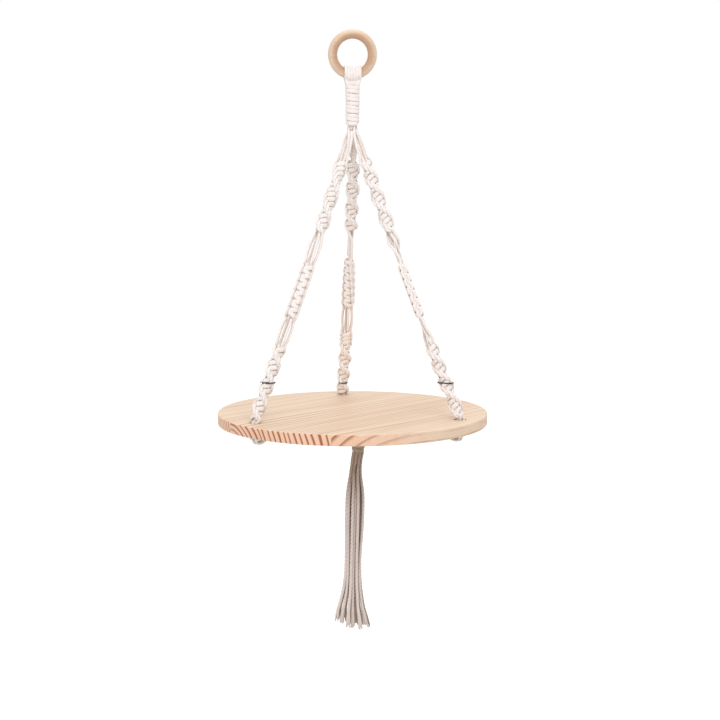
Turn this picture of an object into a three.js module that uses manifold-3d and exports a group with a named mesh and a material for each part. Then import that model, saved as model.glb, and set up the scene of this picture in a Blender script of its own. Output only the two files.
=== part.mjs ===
// A hanging rope shelf. A round pine board hangs from a turned wooden ring on six cotton cords.
// Each cord is folded over the ring, so twelve ends go down. A winding gathers them under the
// ring. Below it they part into three straps of four cords, which are knotted in three rows: a
// twisted row of half knots, a flat row of square knots and another twisted row. Each strap goes
// down through a hole in the board, has a stop knot under it and runs to the middle, where a
// second winding gathers all twelve ends above the tassel.
// Millimetres, +Z up. The origin is where a hook carries the ring, at the top of the ring's eye.

import * as THREE from 'three';
import { mergeVertices } from 'three/addons/utils/BufferGeometryUtils.js';
import Module from 'manifold-3d';

const wasm = await Module();
wasm.setup();

// Ring
const ringDiameter = 53;
const ringThickness = 10;

// Board
const boardDiameter = 300;
const boardThickness = 12;
const boardEdgeBevel = 1;
const boardHoleDiameter = 13;
const boardHoleInset = 21.2;

// Heights
const apexAboveBoard = 313.5;
const tasselLength = 192;

// Cords
const cordDiameter = 3;
const bundledCordDiameter = 2.2;
const gatheredCordDiameter = 2.6;
const fillerDiameter = 2.4;
const clearance = 0.3;
const knotLooseness = 0.2;

// Cord sections inside a row of knots
const knotThickness = 1.9;
const knotBarWidth = 3;
const knotSideWidth = 1.6;

// Rows of knots on a strap
const firstFreeLength = 42;
const secondFreeLength = 39.5;
const thirdFreeLength = 35;
const footFreeLength = 5;
const spiralKnotPitch = 5;
const squareKnotPitch = 4.8;
const upperSpiralKnots = 16;
const squareKnots = 12;
const stopKnots = 1;
const spiralTurnShare = 3 / 32;

// Windings
const windingWidth = 3.8;
const windingThickness = 2;
const windingPitch = 4.25;
const windingTuckBend = 1.6;
const topWindingLength = 45;
const topWindingSwell = 0.65;
const underWindingLength = 12.4;

// Under the board
const stopKnotDrop = 1.8;
const runStraightLength = 2.0;
const runTurnRadius = 3;
const runRise = 7.5;
const gatherDrop = 21.7;
const tasselNeckLength = 10;

// Binding threads
const threadDiameter = 1.2;
const threadSides = 4;

const full = 2 * Math.PI;
const down = new THREE.Vector3(0, 0, -1);
const backAzimuthShare = 1 / 4;
const strapStepShare = 1 / 3;
const frontFacingShare = 3 / 4;
const sideFacingShare = 1;
const strapAzimuthShares = {
  back: backAzimuthShare,
  left: backAzimuthShare + strapStepShare,
  right: backAzimuthShare + 2 * strapStepShare,
};
const squareRowFacingShares = { back: frontFacingShare, left: frontFacingShare, right: sideFacingShare };
const threadHeightShares = { back: 0.953, left: 0.866, right: 0.88 };
const packSpreadShare = 1 / 9;

// Sizes that follow from those above
const ringSectionRadius = ringThickness / 2;
const ringRadius = ringDiameter / 2 - ringSectionRadius;
const ringCentreZ = ringSectionRadius - ringRadius;
const ringFootZ = ringCentreZ - ringRadius;
const loopPitch = cordDiameter + clearance;
const bundleTopZ = ringFootZ - ringSectionRadius - cordDiameter - 5 * clearance;
const apexZ = bundleTopZ - topWindingLength;
const boardTopZ = apexZ - apexAboveBoard;
const boardBottomZ = boardTopZ - boardThickness;
const holeRadius = boardDiameter / 2 - boardHoleInset;
const fillerPlace = (fillerDiameter + clearance) / 2;
const freeInnerPlace = (cordDiameter + clearance) / 2;
const freeOuterPlace = 3 * freeInnerPlace;
const holeOuterPlace = fillerPlace + (fillerDiameter + bundledCordDiameter) / 2 + clearance;

// The four turning points of a half knot, from the middle of the fillers
const knotBarOut = fillerDiameter / 2 + clearance + knotLooseness + knotThickness / 2;
const knotBarEnd = knotBarOut * 0.9;
const knotSidePlace = knotBarEnd + 2 * (knotThickness + clearance) + knotLooseness;
const knotSideOut = knotThickness;
const barSlopeShare = 0.3;
const sideSlopeShare = 0.2;
const besideShare = 0.6;

const materials = {
  cotton: { color: 0xf1ebe4, roughness: 0.95, metalness: 0 },
  winding: { color: 0xf0e5e0, roughness: 0.95, metalness: 0 },
  pine: { color: 0xe8ceb6, roughness: 0.6, metalness: 0 },
  turnedWood: { color: 0xd9baa3, roughness: 0.45, metalness: 0 },
  thread: { color: 0x5a504c, roughness: 0.9, metalness: 0 },
};

const object = new THREE.Group();

function add(name, finish, geometry) {
  const mesh = new THREE.Mesh(geometry, new THREE.MeshStandardMaterial(materials[finish]));
  mesh.name = name;
  object.add(mesh);
  return mesh;
}

// A geometry from a list of points and a list of triangles.
function geometryOf(points, triangles) {
  const geometry = new THREE.BufferGeometry();
  geometry.setAttribute('position', new THREE.Float32BufferAttribute(points.flatMap((p) => p.toArray()), 3));
  geometry.setIndex(triangles);
  geometry.computeVertexNormals();
  return geometry;
}

// Joins rings of points into one closed skin with a flat cap at each end. Each ring runs
// anticlockwise seen from the ring after it.
function skinOf(rings) {
  const sides = rings[0].length;
  const triangles = [];
  for (let i = 0; i + 1 < rings.length; i++) {
    for (let k = 0; k < sides; k++) {
      const a = i * sides + k;
      const b = i * sides + ((k + 1) % sides);
      triangles.push(a, b, a + sides, b, b + sides, a + sides);
    }
  }
  const last = (rings.length - 1) * sides;
  for (let k = 1; k + 1 < sides; k++) {
    triangles.push(0, k + 1, k, last, last + k, last + k + 1);
  }
  return geometryOf(rings.flat(), triangles);
}

// The rings of points round a cord. A station has its place, the way that its thickness points,
// its thickness and its width, and at an end that must be square, the way that the cord runs.
function cordRings(stations, sides) {
  const cornerShare = sides === 4 ? Math.SQRT2 / 1.15 : 1;
  const startTurn = full / sides / 2;
  return stations.map((station, i) => {
    const before = stations[Math.max(i - 1, 0)].at;
    const after = stations[Math.min(i + 1, stations.length - 1)].at;
    const inward = station.at.clone().sub(before).normalize();
    const onward = after.clone().sub(station.at).normalize();
    const along = station.along ?? inward.add(onward).normalize();
    const thick = station.out.clone().addScaledVector(along, -station.out.dot(along)).normalize();
    const wide = along.clone().cross(thick);
    return Array.from({ length: sides }, (_, k) => {
      const angle = startTurn + (full * k) / sides;
      return station.at.clone()
        .addScaledVector(thick, (Math.cos(angle) * cornerShare * station.thickness) / 2)
        .addScaledVector(wide, (Math.sin(angle) * cornerShare * station.width) / 2);
    });
  });
}

const cordSkin = (stations, sides) => skinOf(cordRings(stations, sides));

// A frame on a straight line: a place is a distance along it, and then across and out from it,
// both turned about the line.
function lineFrame(origin, along, across) {
  const out = along.clone().cross(across);
  const lean = (u, v, turn) => across.clone().multiplyScalar(u * Math.cos(turn) - v * Math.sin(turn))
    .addScaledVector(out, u * Math.sin(turn) + v * Math.cos(turn));
  const place = (distance, u, v, turn) => lean(u, v, turn).addScaledVector(along, distance).add(origin);
  return { lean, place };
}

// Twelve cords pressed together: three in the middle and nine round them. Each third of the
// bundle, about its azimuth, has one inner place and three outer ones.
function packOf(diameter, apart = clearance) {
  const inner = (diameter + apart) / Math.sqrt(3);
  const outer = inner + diameter + apart;
  const spread = full * packSpreadShare;
  const at = (radius, azimuth, z) => new THREE.Vector3(radius * Math.cos(azimuth), radius * Math.sin(azimuth), z);
  const places = (azimuth, z) => [
    at(inner, azimuth, z), at(outer, azimuth - spread, z), at(outer, azimuth, z), at(outer, azimuth + spread, z),
  ];
  return { inner, outer, radius: outer + diameter / 2, spread, places };
}

const bundlePack = packOf(bundledCordDiameter);
const bundleTopPack = packOf(bundledCordDiameter, 2 * clearance);
const gatheredPack = packOf(gatheredCordDiameter);

// Solids for the cuts
function solidOf(geometry) {
  const bare = geometry.clone();
  bare.deleteAttribute('normal');
  bare.deleteAttribute('uv');
  const merged = mergeVertices(bare);
  return new wasm.Manifold(new wasm.Mesh({
    numProp: 3,
    vertProperties: new Float32Array(merged.attributes.position.array),
    triVerts: new Uint32Array(merged.index.array),
  }));
}

function geometryOfSolid(solid) {
  const mesh = solid.getMesh();
  const geometry = new THREE.BufferGeometry();
  geometry.setAttribute('position', new THREE.BufferAttribute(new Float32Array(mesh.vertProperties), 3));
  geometry.setIndex(new THREE.BufferAttribute(new Uint32Array(mesh.triVerts), 1));
  geometry.computeVertexNormals();
  return geometry;
}

// Ring
function hangingRing() {
  const geometry = new THREE.TorusGeometry(ringRadius, ringSectionRadius, 10, 36);
  geometry.deleteAttribute('uv');
  geometry.deleteAttribute('normal');
  return mergeVertices(geometry.rotateX(Math.PI / 2).translate(0, 0, ringCentreZ));
}

add('hanging_ring', 'turnedWood', hangingRing());

// Board, a disc with its edges and the rims of its three holes bevelled
function circlePath(path, x, y, radius, sides) {
  const points = Array.from({ length: sides }, (_, i) => {
    const angle = (full * i) / sides;
    return new THREE.Vector2(x + radius * Math.cos(angle), y + radius * Math.sin(angle));
  });
  return path.setFromPoints(points);
}

function shelfBoard() {
  const outline = circlePath(new THREE.Shape(), 0, 0, boardDiameter / 2 - boardEdgeBevel, 72);
  for (const share of Object.values(strapAzimuthShares)) {
    const x = holeRadius * Math.cos(full * share);
    const y = holeRadius * Math.sin(full * share);
    outline.holes.push(circlePath(new THREE.Path(), x, y, boardHoleDiameter / 2 + boardEdgeBevel, 12));
  }
  const geometry = new THREE.ExtrudeGeometry(outline, {
    depth: boardThickness - 2 * boardEdgeBevel,
    bevelThickness: boardEdgeBevel,
    bevelSize: boardEdgeBevel,
    bevelSegments: 1,
  });
  geometry.translate(0, 0, boardBottomZ + boardEdgeBevel);
  geometry.deleteAttribute('normal');
  geometry.deleteAttribute('uv');
  return mergeVertices(geometry);
}

add('shelf_board', 'pine', shelfBoard());

// Cord loops over the ring, side by side. Each is folded over the ring's bar, closes up below it and
// ends at its two places in the bundle.
const loopCount = 6;
const loopSteps = 8;
const mostCloseShare = 0.3;

function loopStations(x, frontEnd, backEnd) {
  const innerDrop = Math.sqrt((ringRadius - ringSectionRadius) ** 2 - x * x);
  const outerDrop = Math.sqrt((ringRadius + ringSectionRadius) ** 2 - x * x);
  const reach = clearance + knotLooseness + cordDiameter / 2;
  const steepness = innerDrop / (ringRadius - ringSectionRadius);
  const width = ringSectionRadius + reach;
  const height = (outerDrop - innerDrop) / 2 + reach / steepness;
  const centre = new THREE.Vector3(x, 0, ringCentreZ - (innerDrop + outerDrop) / 2);
  const closeAngle = (place) => Math.acos(Math.max(Math.abs(place.y) / width, mostCloseShare));
  const from = -closeAngle(frontEnd);
  const to = full / 2 + closeAngle(backEnd);
  const stations = Array.from({ length: loopSteps + 1 }, (_, i) => {
    const angle = from + ((to - from) * i) / loopSteps;
    const out = new THREE.Vector3(0, -Math.cos(angle), Math.sin(angle));
    const at = centre.clone().add(new THREE.Vector3(0, out.y * width, out.z * height));
    const diameter = i % loopSteps === 0 ? bundledCordDiameter : cordDiameter;
    return { at, out, thickness: diameter, width: diameter };
  });
  const end = (place, side) => ({
    at: place.clone(),
    out: new THREE.Vector3(0, side, 0),
    along: down.clone().multiplyScalar(side),
    thickness: bundledCordDiameter,
    width: bundledCordDiameter,
  });
  return [end(frontEnd, -1), ...stations, end(backEnd, 1)];
}

const loopEndPlaces = Object.values(strapAzimuthShares)
  .flatMap((share) => bundleTopPack.places(full * share, bundleTopZ + clearance));
const byX = (a, b) => a.x - b.x;
const frontPlaces = loopEndPlaces.filter((place) => place.y < 0).sort(byX);
const backPlaces = loopEndPlaces.filter((place) => place.y >= 0).sort(byX);

for (let i = 0; i < loopCount; i++) {
  const x = (i - (loopCount - 1) / 2) * loopPitch;
  add(`cord_loop_${i + 1}`, 'cotton', cordSkin(loopStations(x, frontPlaces[i], backPlaces[i]), 6));
}

// Windings. A winding is one cord wound flat round the bundle, and each of its ends turns in and is
// tucked straight into the bundle.
const windingSteps = 16;
const windingSides = 5;

function windingStations(topZ, length, radiusAt) {
  const turns = (length - windingWidth) / windingPitch;
  const count = Math.round(turns * windingSteps);
  const pathRadius = (z) => radiusAt(z) + clearance + windingThickness / 2;
  const startZ = topZ - windingWidth / 2;
  const tuckAngle = Math.atan(windingTuckBend / pathRadius(startZ));
  const helix = Array.from({ length: count + 1 }, (_, i) => {
    const angle = (full * i) / windingSteps;
    const z = startZ - ((length - windingWidth) * i) / count;
    return new THREE.Vector3(pathRadius(z) * Math.cos(angle), pathRadius(z) * Math.sin(angle), z);
  });
  const tuck = (edgeAngle, z, side) => {
    const radial = new THREE.Vector3(Math.cos(edgeAngle), Math.sin(edgeAngle), 0);
    const beside = new THREE.Vector3(-Math.sin(edgeAngle), Math.cos(edgeAngle), 0).multiplyScalar(side);
    const straightEnd = pathRadius(z) - windingTuckBend;
    const at = (r, t) => radial.clone().multiplyScalar(r).addScaledVector(beside, t).setZ(z);
    const half = windingTuckBend * (1 - Math.SQRT1_2);
    return [at(straightEnd - windingWidth, 0), at(straightEnd, 0), at(pathRadius(z) - half, half)];
  };
  const lastAngle = (full * count) / windingSteps;
  const endZ = helix[count].z;
  const path = [
    ...tuck(-tuckAngle, startZ, 1),
    ...helix,
    ...tuck(lastAngle + tuckAngle, endZ, -1).reverse(),
  ];
  return path.map((at, i) => {
    const way = path[Math.min(i + 1, path.length - 1)].clone().sub(path[Math.max(i - 1, 0)]);
    const out = new THREE.Vector3(way.y, -way.x, 0).normalize();
    return { at, out, thickness: windingThickness, width: windingWidth };
  });
}

// The least gap between a winding and itself, on the points of its rings that are half a turn or
// more apart.
function leastGap(rings) {
  let least = Infinity;
  for (let i = 0; i < rings.length; i++) {
    for (let j = i + windingSteps / 2; j < rings.length; j++) {
      for (const a of rings[i]) {
        for (const b of rings[j]) least = Math.min(least, a.distanceTo(b));
      }
    }
  }
  return least;
}

const widened = (station) => ({
  ...station,
  thickness: station.thickness + 2 * clearance,
  width: station.width + 2 * clearance,
});

// The bundle inside a winding is nine cords round three. It is cut where the winding's ends go in.
function bundleSolid(topZ, bottomZ, radiusAt, levels, tucked) {
  const lobeDepthShare = 0.1;
  const lobes = 9;
  const pointsPerLobe = 3;
  const rings = Array.from({ length: levels }, (_, i) => {
    const z = topZ + ((bottomZ - topZ) * i) / (levels - 1);
    return Array.from({ length: lobes * pointsPerLobe }, (__, k) => {
      const angle = (-full * k) / (lobes * pointsPerLobe);
      const dip = lobeDepthShare * (1 - Math.abs(Math.cos((lobes / 2) * (angle - full / 4))));
      const radius = radiusAt(z) * (1 - dip);
      return new THREE.Vector3(radius * Math.cos(angle), radius * Math.sin(angle), z);
    });
  });
  let solid = solidOf(skinOf(rings));
  for (const stations of tucked) {
    const cutter = stations.map(widened);
    const inward = cutter[0].at.clone().sub(cutter[1].at).setLength(clearance);
    cutter[0] = { ...cutter[0], at: cutter[0].at.clone().add(inward) };
    solid = solid.subtract(solidOf(cordSkin(cutter, windingSides)));
  }
  return geometryOfSolid(solid);
}

function addWoundBundle(names, topZ, bottomZ, radiusAt) {
  const stations = windingStations(topZ, topZ - bottomZ, radiusAt);
  const rings = cordRings(stations, windingSides);
  console.log(`${names.winding}: least gap to itself ${leastGap(rings).toFixed(2)} mm`);
  add(names.winding, 'winding', skinOf(rings));
  const tucked = [stations.slice(0, 5), stations.slice(-5).reverse()];
  add(names.bundle, 'cotton', bundleSolid(topZ, bottomZ, radiusAt, 2, tucked));
}

const topBundleRadius = (z) => {
  const share = (z - apexZ) / (bundleTopZ - apexZ);
  return bundlePack.radius + topWindingSwell * share;
};
addWoundBundle({ winding: 'top_winding', bundle: 'top_bundle' }, bundleTopZ, apexZ, topBundleRadius);

// Rows of knots. A half knot has four turning points for each of its two cords: it comes in at its
// side, crosses as a bar on its face of the fillers, and leaves at the other side. With slopes, each
// cord's leaving end passes above the other cord's coming one, so the two hook each other.
function halfKnotStations(frame, distance, pitch, turn, side, face) {
  const points = [
    { u: side * knotSidePlace, v: -face * knotSideOut, s: sideSlopeShare * pitch, bar: false },
    { u: side * knotBarEnd, v: face * knotBarOut, s: barSlopeShare * pitch, bar: true },
    { u: -side * knotBarEnd, v: face * knotBarOut, s: -barSlopeShare * pitch, bar: true },
    { u: -side * knotSidePlace, v: -face * knotSideOut, s: -sideSlopeShare * pitch, bar: false },
  ];
  return points.map(({ u, v, s, bar }) => {
    const turned = turn(distance + s);
    return {
      at: frame.place(distance + s, u, v, turned),
      out: bar ? frame.lean(0, v, turned).normalize() : frame.lean(u, 0, turned).normalize(),
      thickness: knotThickness,
      width: bar ? knotBarWidth : knotSideWidth,
    };
  });
}

// A knotting cord beside the fillers, where it comes into a row of knots or leaves it
function besideStation(frame, distance, turn, side, face) {
  const turned = turn(distance);
  return {
    at: frame.place(distance, side * knotSidePlace, -face * knotSideOut, turned),
    out: frame.lean(side, 0, turned).normalize(),
    thickness: knotThickness,
    width: knotSideWidth,
  };
}

// A knotting cord's stations in one row of knots. In a twisted row the two cords take turns at the
// front bar, and in a flat row one of them always has it.
function rowStations(frame, row, turn, startSide, firstSide) {
  const stations = [];
  let side = firstSide;
  const faceOf = () => (row.twisted ? -side : -startSide);
  const besideAt = (n, way) => row.start + row.pitch * (n + 0.5 + way * besideShare);
  stations.push(besideStation(frame, besideAt(0, -1), turn, side, faceOf()));
  let face = 0;
  for (let n = 0; n < row.knots; n++) {
    face = faceOf();
    stations.push(...halfKnotStations(frame, row.start + row.pitch * (n + 0.5), row.pitch, turn, side, face));
    side = -side;
  }
  stations.push(besideStation(frame, besideAt(row.knots - 1, 1), turn, side, face));
  return { stations, side };
}

// A strap's line, its rows and how far it is turned at any distance down the line
function strapOf(name) {
  const azimuth = full * strapAzimuthShares[name];
  const outward = new THREE.Vector3(Math.cos(azimuth), Math.sin(azimuth), 0);
  const across = new THREE.Vector3(-Math.sin(azimuth), Math.cos(azimuth), 0);
  const top = new THREE.Vector3(0, 0, apexZ);
  const foot = outward.clone().multiplyScalar(holeRadius).setZ(boardTopZ);
  const length = foot.distanceTo(top);
  const upperStart = firstFreeLength;
  const upperEnd = upperStart + upperSpiralKnots * spiralKnotPitch;
  const squareStart = upperEnd + secondFreeLength;
  const squareEnd = squareStart + squareKnots * squareKnotPitch;
  const lowerStart = squareEnd + thirdFreeLength;
  const lowerEnd = length - footFreeLength;
  const lowerKnots = Math.max(1, Math.round((lowerEnd - lowerStart) / spiralKnotPitch));
  const lowerPitch = (lowerEnd - lowerStart) / lowerKnots;
  const squareTurn = azimuth - full * squareRowFacingShares[name];
  const turnPerLength = (full * spiralTurnShare) / spiralKnotPitch;
  const turn = (distance) => {
    const above = Math.min(Math.max(upperEnd - distance, 0), upperEnd - upperStart);
    const below = Math.min(Math.max(distance - lowerStart, 0), lowerEnd - lowerStart);
    return squareTurn + turnPerLength * (above - below);
  };
  const startTurn = Math.round(turn(0) / Math.PI) * Math.PI;
  const footTurn = turn(length);
  const underTurn = Math.round(footTurn / Math.PI) * Math.PI;
  const rows = [
    { start: upperStart, knots: upperSpiralKnots, pitch: spiralKnotPitch, twisted: true },
    { start: squareStart, knots: squareKnots, pitch: squareKnotPitch, twisted: false },
    { start: lowerStart, knots: lowerKnots, pitch: lowerPitch, twisted: true },
  ];
  return {
    azimuth, outward, across, length, turn, startTurn, footTurn, underTurn, rows,
    upperStart, upperEnd, squareStart, squareEnd, lowerStart, lowerEnd,
    line: lineFrame(top, foot.clone().sub(top).normalize(), across),
    under: lineFrame(foot, down, across),
  };
}

const slimShare = 0.9;
const fanShares = [0.16, 0.33, 0.55];
const fanOutShares = [0.58, 0.95, 1];
const fanLiftShares = [0.6, 0.25, 0];
const fanDiameters = [bundledCordDiameter, gatheredCordDiameter, cordDiameter];

const round = (at, out, diameter) => ({ at, out, thickness: diameter, width: diameter });

// The start of a strap's four cords. They come out of the bundle and open into a flat row: first the
// knotting cords move out, and then the fillers, one behind the other, turn side by side.
function startStations(strap, side, knotting) {
  const [inner, ...outer] = bundlePack.places(strap.azimuth, apexZ - clearance);
  const flip = side * Math.round(Math.cos(strap.startTurn));
  const place = knotting ? outer[1 + flip] : (flip > 0 ? outer[1] : inner);
  const startOut = strap.across.clone().multiplyScalar(flip);
  const start = { ...round(place, startOut, bundledCordDiameter * (knotting ? slimShare : 1)), along: down };
  const fan = fanShares.map((share, i) => {
    const angle = (full / 4) * (i / (fanShares.length - 1));
    const pairPlace = Math.min(fanDiameters[i] / 2 + clearance, freeInnerPlace);
    const u = knotting ? freeOuterPlace * fanOutShares[i] : pairPlace * Math.sin(angle);
    const v = knotting ? 0 : pairPlace * Math.cos(angle);
    const turned = strap.startTurn + (strap.turn(0) - strap.startTurn) * share;
    const at = strap.line.place(firstFreeLength * share, side * u, side * v, turned)
      .addScaledVector(strap.outward, freeInnerPlace * fanLiftShares[i]);
    const out = strap.line.lean(side * u, side * v, turned).normalize();
    return round(at, out, fanDiameters[i]);
  });
  return [start, ...fan];
}

const turningShare = 0.4;
const startGapShares = [0.87];
const gapShares = [0.15, 0.5, 0.85];
const fillerGapShares = [0.2, 0.5, 0.8];
const holeShares = [0, 0.5, 1];

function freeStations(strap, start, length, u, shares, diameter) {
  return shares.map((share) => {
    const distance = start + length * share;
    const turned = strap.turn(distance);
    return round(strap.line.place(distance, u, 0, turned), strap.line.lean(u, 0, turned).normalize(), diameter);
  });
}

// Down through the board's hole, turned on the way so that the stop knot lies across the run
function holeStations(strap, u, diameter) {
  return holeShares.map((share) => {
    const turned = strap.footTurn + (strap.underTurn - strap.footTurn) * share;
    const at = strap.under.place(boardThickness * share, u, 0, turned);
    return round(at, strap.under.lean(u, 0, turned).normalize(), diameter);
  });
}

const stopKnotStart = boardThickness + stopKnotDrop;
const stopKnotEnd = stopKnotStart + stopKnots * squareKnotPitch;
const runDepth = stopKnotEnd + runStraightLength + clearance + gatheredCordDiameter / 2 + runTurnRadius;
const runUpperDepth = runDepth - gatheredCordDiameter - 2 * clearance;
const runSidePlace = gatheredPack.outer * Math.sin(gatheredPack.spread);
const runLevelEnd = runTurnRadius + gatheredCordDiameter;
const gatherTopDepth = boardThickness + gatherDrop;

// How near the middle each point of a run is, and how far it has risen towards the board
const runShares = [
  { inward: 0.12, rise: 0.55 },
  { inward: 0.3, rise: 1 },
  { inward: 0.62, rise: 0.95 },
];
const runEndRiseShare = 0.85;

// From the stop knot, a run rises to lie close under the board, and at the middle it turns down
// into the gathered bundle there.
function runStations(strap, side, upper, endRadius, diameter) {
  const depth = upper ? runUpperDepth : runDepth;
  const bend = upper ? gatheredCordDiameter / 2 + clearance : runTurnRadius;
  const u = side * runSidePlace;
  const startOut = side === 0 ? (gatheredCordDiameter + clearance) / 2 * (upper ? -1 : 1) : 0;
  const inward = -holeRadius + endRadius;
  const endDepth = depth - runRise * runEndRiseShare;
  const half = 1 - Math.SQRT1_2;
  const points = [
    [depth - bend, startOut],
    [depth - bend * half, startOut - bend * half],
    [depth, startOut - bend],
    [depth, -runLevelEnd],
    ...runShares.map((share) => [depth - runRise * share.rise, -holeRadius * share.inward]),
    [endDepth, inward + bend],
    [endDepth + bend * half, inward + bend * half],
    [endDepth + bend, inward],
    [gatherTopDepth - clearance, inward],
  ];
  return points.map(([d, v], i) => {
    const station = round(strap.under.place(d, u, v, 0), strap.across.clone(), diameter);
    return i === points.length - 1 ? { ...station, along: down } : station;
  });
}

// A knotting cord changes sides at each half knot.
function knottingCord(strap, startSide) {
  let side = startSide;
  const stations = startStations(strap, startSide, true);
  const gapLengths = [firstFreeLength, secondFreeLength, thirdFreeLength];
  strap.rows.forEach((row, i) => {
    const gapStart = row.start - gapLengths[i];
    const shares = i === 0 ? startGapShares : gapShares;
    stations.push(...freeStations(strap, gapStart, gapLengths[i], side * freeOuterPlace, shares, cordDiameter));
    const knotted = rowStations(strap.line, row, strap.turn, startSide, side);
    stations.push(...knotted.stations);
    side = knotted.side;
  });
  stations.push(...holeStations(strap, side * holeOuterPlace, bundledCordDiameter));
  const stop = { start: stopKnotStart, knots: stopKnots, pitch: squareKnotPitch, twisted: false };
  const knotted = rowStations(strap.under, stop, () => strap.underTurn, startSide, side);
  const runSide = knotted.side * Math.round(Math.cos(strap.underTurn));
  const endRadius = gatheredPack.outer * Math.cos(gatheredPack.spread);
  stations.push(...knotted.stations, ...runStations(strap, runSide, false, endRadius, gatheredCordDiameter * slimShare));
  return cordSkin(stations, 4);
}

// A filler cord runs inside the knots beside its twin.
function fillerCord(strap, side) {
  const u = side * fillerPlace;
  const free = (start, length, shares) => freeStations(strap, start, length, side * freeInnerPlace, shares, cordDiameter);
  const inside = (start, length, steps) => {
    const shares = Array.from({ length: steps + 1 }, (_, i) => i / steps);
    return freeStations(strap, start, length, u, shares, fillerDiameter);
  };
  const [upper, square, lower] = strap.rows;
  const runsAbove = side > 0;
  const underSide = side * Math.round(Math.cos(strap.underTurn));
  const runOut = runsAbove ? -1 : 1;
  const turningPlace = (gatheredCordDiameter + clearance) * turningShare;
  const stations = [
    ...startStations(strap, side, false),
    ...free(0, firstFreeLength, startGapShares),
    ...inside(upper.start, upper.knots * upper.pitch, Math.ceil(upper.knots / 2)),
    ...free(strap.upperEnd, secondFreeLength, fillerGapShares),
    ...inside(square.start, square.knots * square.pitch, 2),
    ...free(strap.squareEnd, thirdFreeLength, fillerGapShares),
    ...inside(lower.start, lower.knots * lower.pitch, Math.ceil(lower.knots / 2)),
    ...holeStations(strap, u, fillerDiameter),
    round(
      strap.under.place(stopKnotEnd - squareKnotPitch / 2, underSide * fillerPlace, 0, 0),
      strap.across.clone(), fillerDiameter,
    ),
    round(
      strap.under.place(stopKnotEnd + runStraightLength, underSide * turningPlace, runOut * turningPlace, 0),
      strap.across.clone(), fillerDiameter * slimShare,
    ),
    ...runStations(strap, 0, runsAbove, runsAbove ? gatheredPack.inner : gatheredPack.outer, gatheredCordDiameter),
  ];
  return cordSkin(stations, 5);
}

for (const name of Object.keys(strapAzimuthShares)) {
  const strap = strapOf(name);
  add(`${name}_knotting_cord_a`, 'cotton', knottingCord(strap, -1));
  add(`${name}_knotting_cord_b`, 'cotton', knottingCord(strap, 1));
  add(`${name}_filler_cord_a`, 'cotton', fillerCord(strap, -1));
  add(`${name}_filler_cord_b`, 'cotton', fillerCord(strap, 1));
}

// Gathered bundle under the board, its winding and the tassel's neck
const gatherTopZ = boardTopZ - gatherTopDepth;
const gatherBottomZ = gatherTopZ - underWindingLength;
const neckTopZ = gatherBottomZ - clearance;
const neckBottomZ = neckTopZ - tasselNeckLength;
const gatheredRadius = () => gatheredPack.radius;
addWoundBundle({ winding: 'under_winding', bundle: 'under_bundle' }, gatherTopZ, gatherBottomZ, gatheredRadius);
add('tassel_neck', 'cotton', bundleSolid(neckTopZ, neckBottomZ, gatheredRadius, 2, []));

// Tassel. Its twelve strands swell below the neck, hang together and splay at their ends.
const tasselShares = [
  { down: 0, spread: 1, thick: 1 },
  { down: 0.06, spread: 1.15, thick: 1.05 },
  { down: 0.2, spread: 1.9, thick: 1.15 },
  { down: 0.45, spread: 1.75, thick: 1.15 },
  { down: 0.7, spread: 1.75, thick: 1.15 },
  { down: 0.85, spread: 2.2, thick: 1.2 },
  { down: 1, spread: 3.5, thick: 1.25 },
];

function tasselStrand(place) {
  const stations = tasselShares.map((level) => {
    const at = place.clone().multiplyScalar(level.spread).setZ(place.z - tasselLength * level.down);
    return round(at, place.clone().setZ(0).normalize(), gatheredCordDiameter * level.thick);
  });
  stations[0].along = down;
  return cordSkin(stations, 6);
}

Object.values(strapAzimuthShares)
  .flatMap((share) => gatheredPack.places(full * share, neckBottomZ - clearance))
  .forEach((place, i) => add(`tassel_strand_${i + 1}`, 'cotton', tasselStrand(place)));

// Binding threads, each a level ring tied round the lower row of a strap
function bindingThread(strap, share) {
  const reach = knotSidePlace + knotThickness / 2 + 3 * clearance + threadDiameter / 2;
  const depth = knotBarOut + knotThickness + 3 * clearance + threadDiameter / 2;
  const roundness = 2 / 3;
  const steps = 18;
  const lean = Math.tan(Math.acos((apexZ - boardTopZ) / strap.length));
  const turned = strap.turn(strap.length * share);
  const bend = (x) => Math.sign(x) * Math.abs(x) ** roundness;
  const rings = [];
  const centres = Array.from({ length: steps }, (_, i) => {
    const angle = (full * i) / steps;
    const u = reach * bend(Math.cos(angle));
    const v = depth * bend(Math.sin(angle));
    const outShift = u * Math.sin(turned) + v * Math.cos(turned);
    return strap.line.place(strap.length * share + outShift * lean, u, v, turned);
  });
  const middle = centres.reduce((sum, p) => sum.add(p), new THREE.Vector3()).divideScalar(steps);
  centres.forEach((at, i) => {
    const way = centres[(i + 1) % steps].clone().sub(centres[(i + steps - 1) % steps]).normalize();
    const up = new THREE.Vector3(0, 0, 1);
    const out = at.clone().sub(middle).cross(up).cross(up).negate().normalize();
    const thick = out.addScaledVector(way, -out.dot(way)).normalize();
    const wide = way.clone().cross(thick);
    rings.push(Array.from({ length: threadSides }, (_, k) => {
      const angle = (full * (k + 0.5)) / threadSides;
      return at.clone()
        .addScaledVector(thick, (Math.cos(angle) * threadDiameter) / 2)
        .addScaledVector(wide, (Math.sin(angle) * threadDiameter) / 2);
    }));
  });
  return closedSkinOf(rings);
}

// Joins rings of points into one skin that closes on itself.
function closedSkinOf(rings) {
  const sides = rings[0].length;
  const triangles = [];
  rings.forEach((_, i) => {
    const next = ((i + 1) % rings.length) * sides;
    for (let k = 0; k < sides; k++) {
      const after = (k + 1) % sides;
      triangles.push(i * sides + k, i * sides + after, next + k, i * sides + after, next + after, next + k);
    }
  });
  return geometryOf(rings.flat(), triangles);
}

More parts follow.
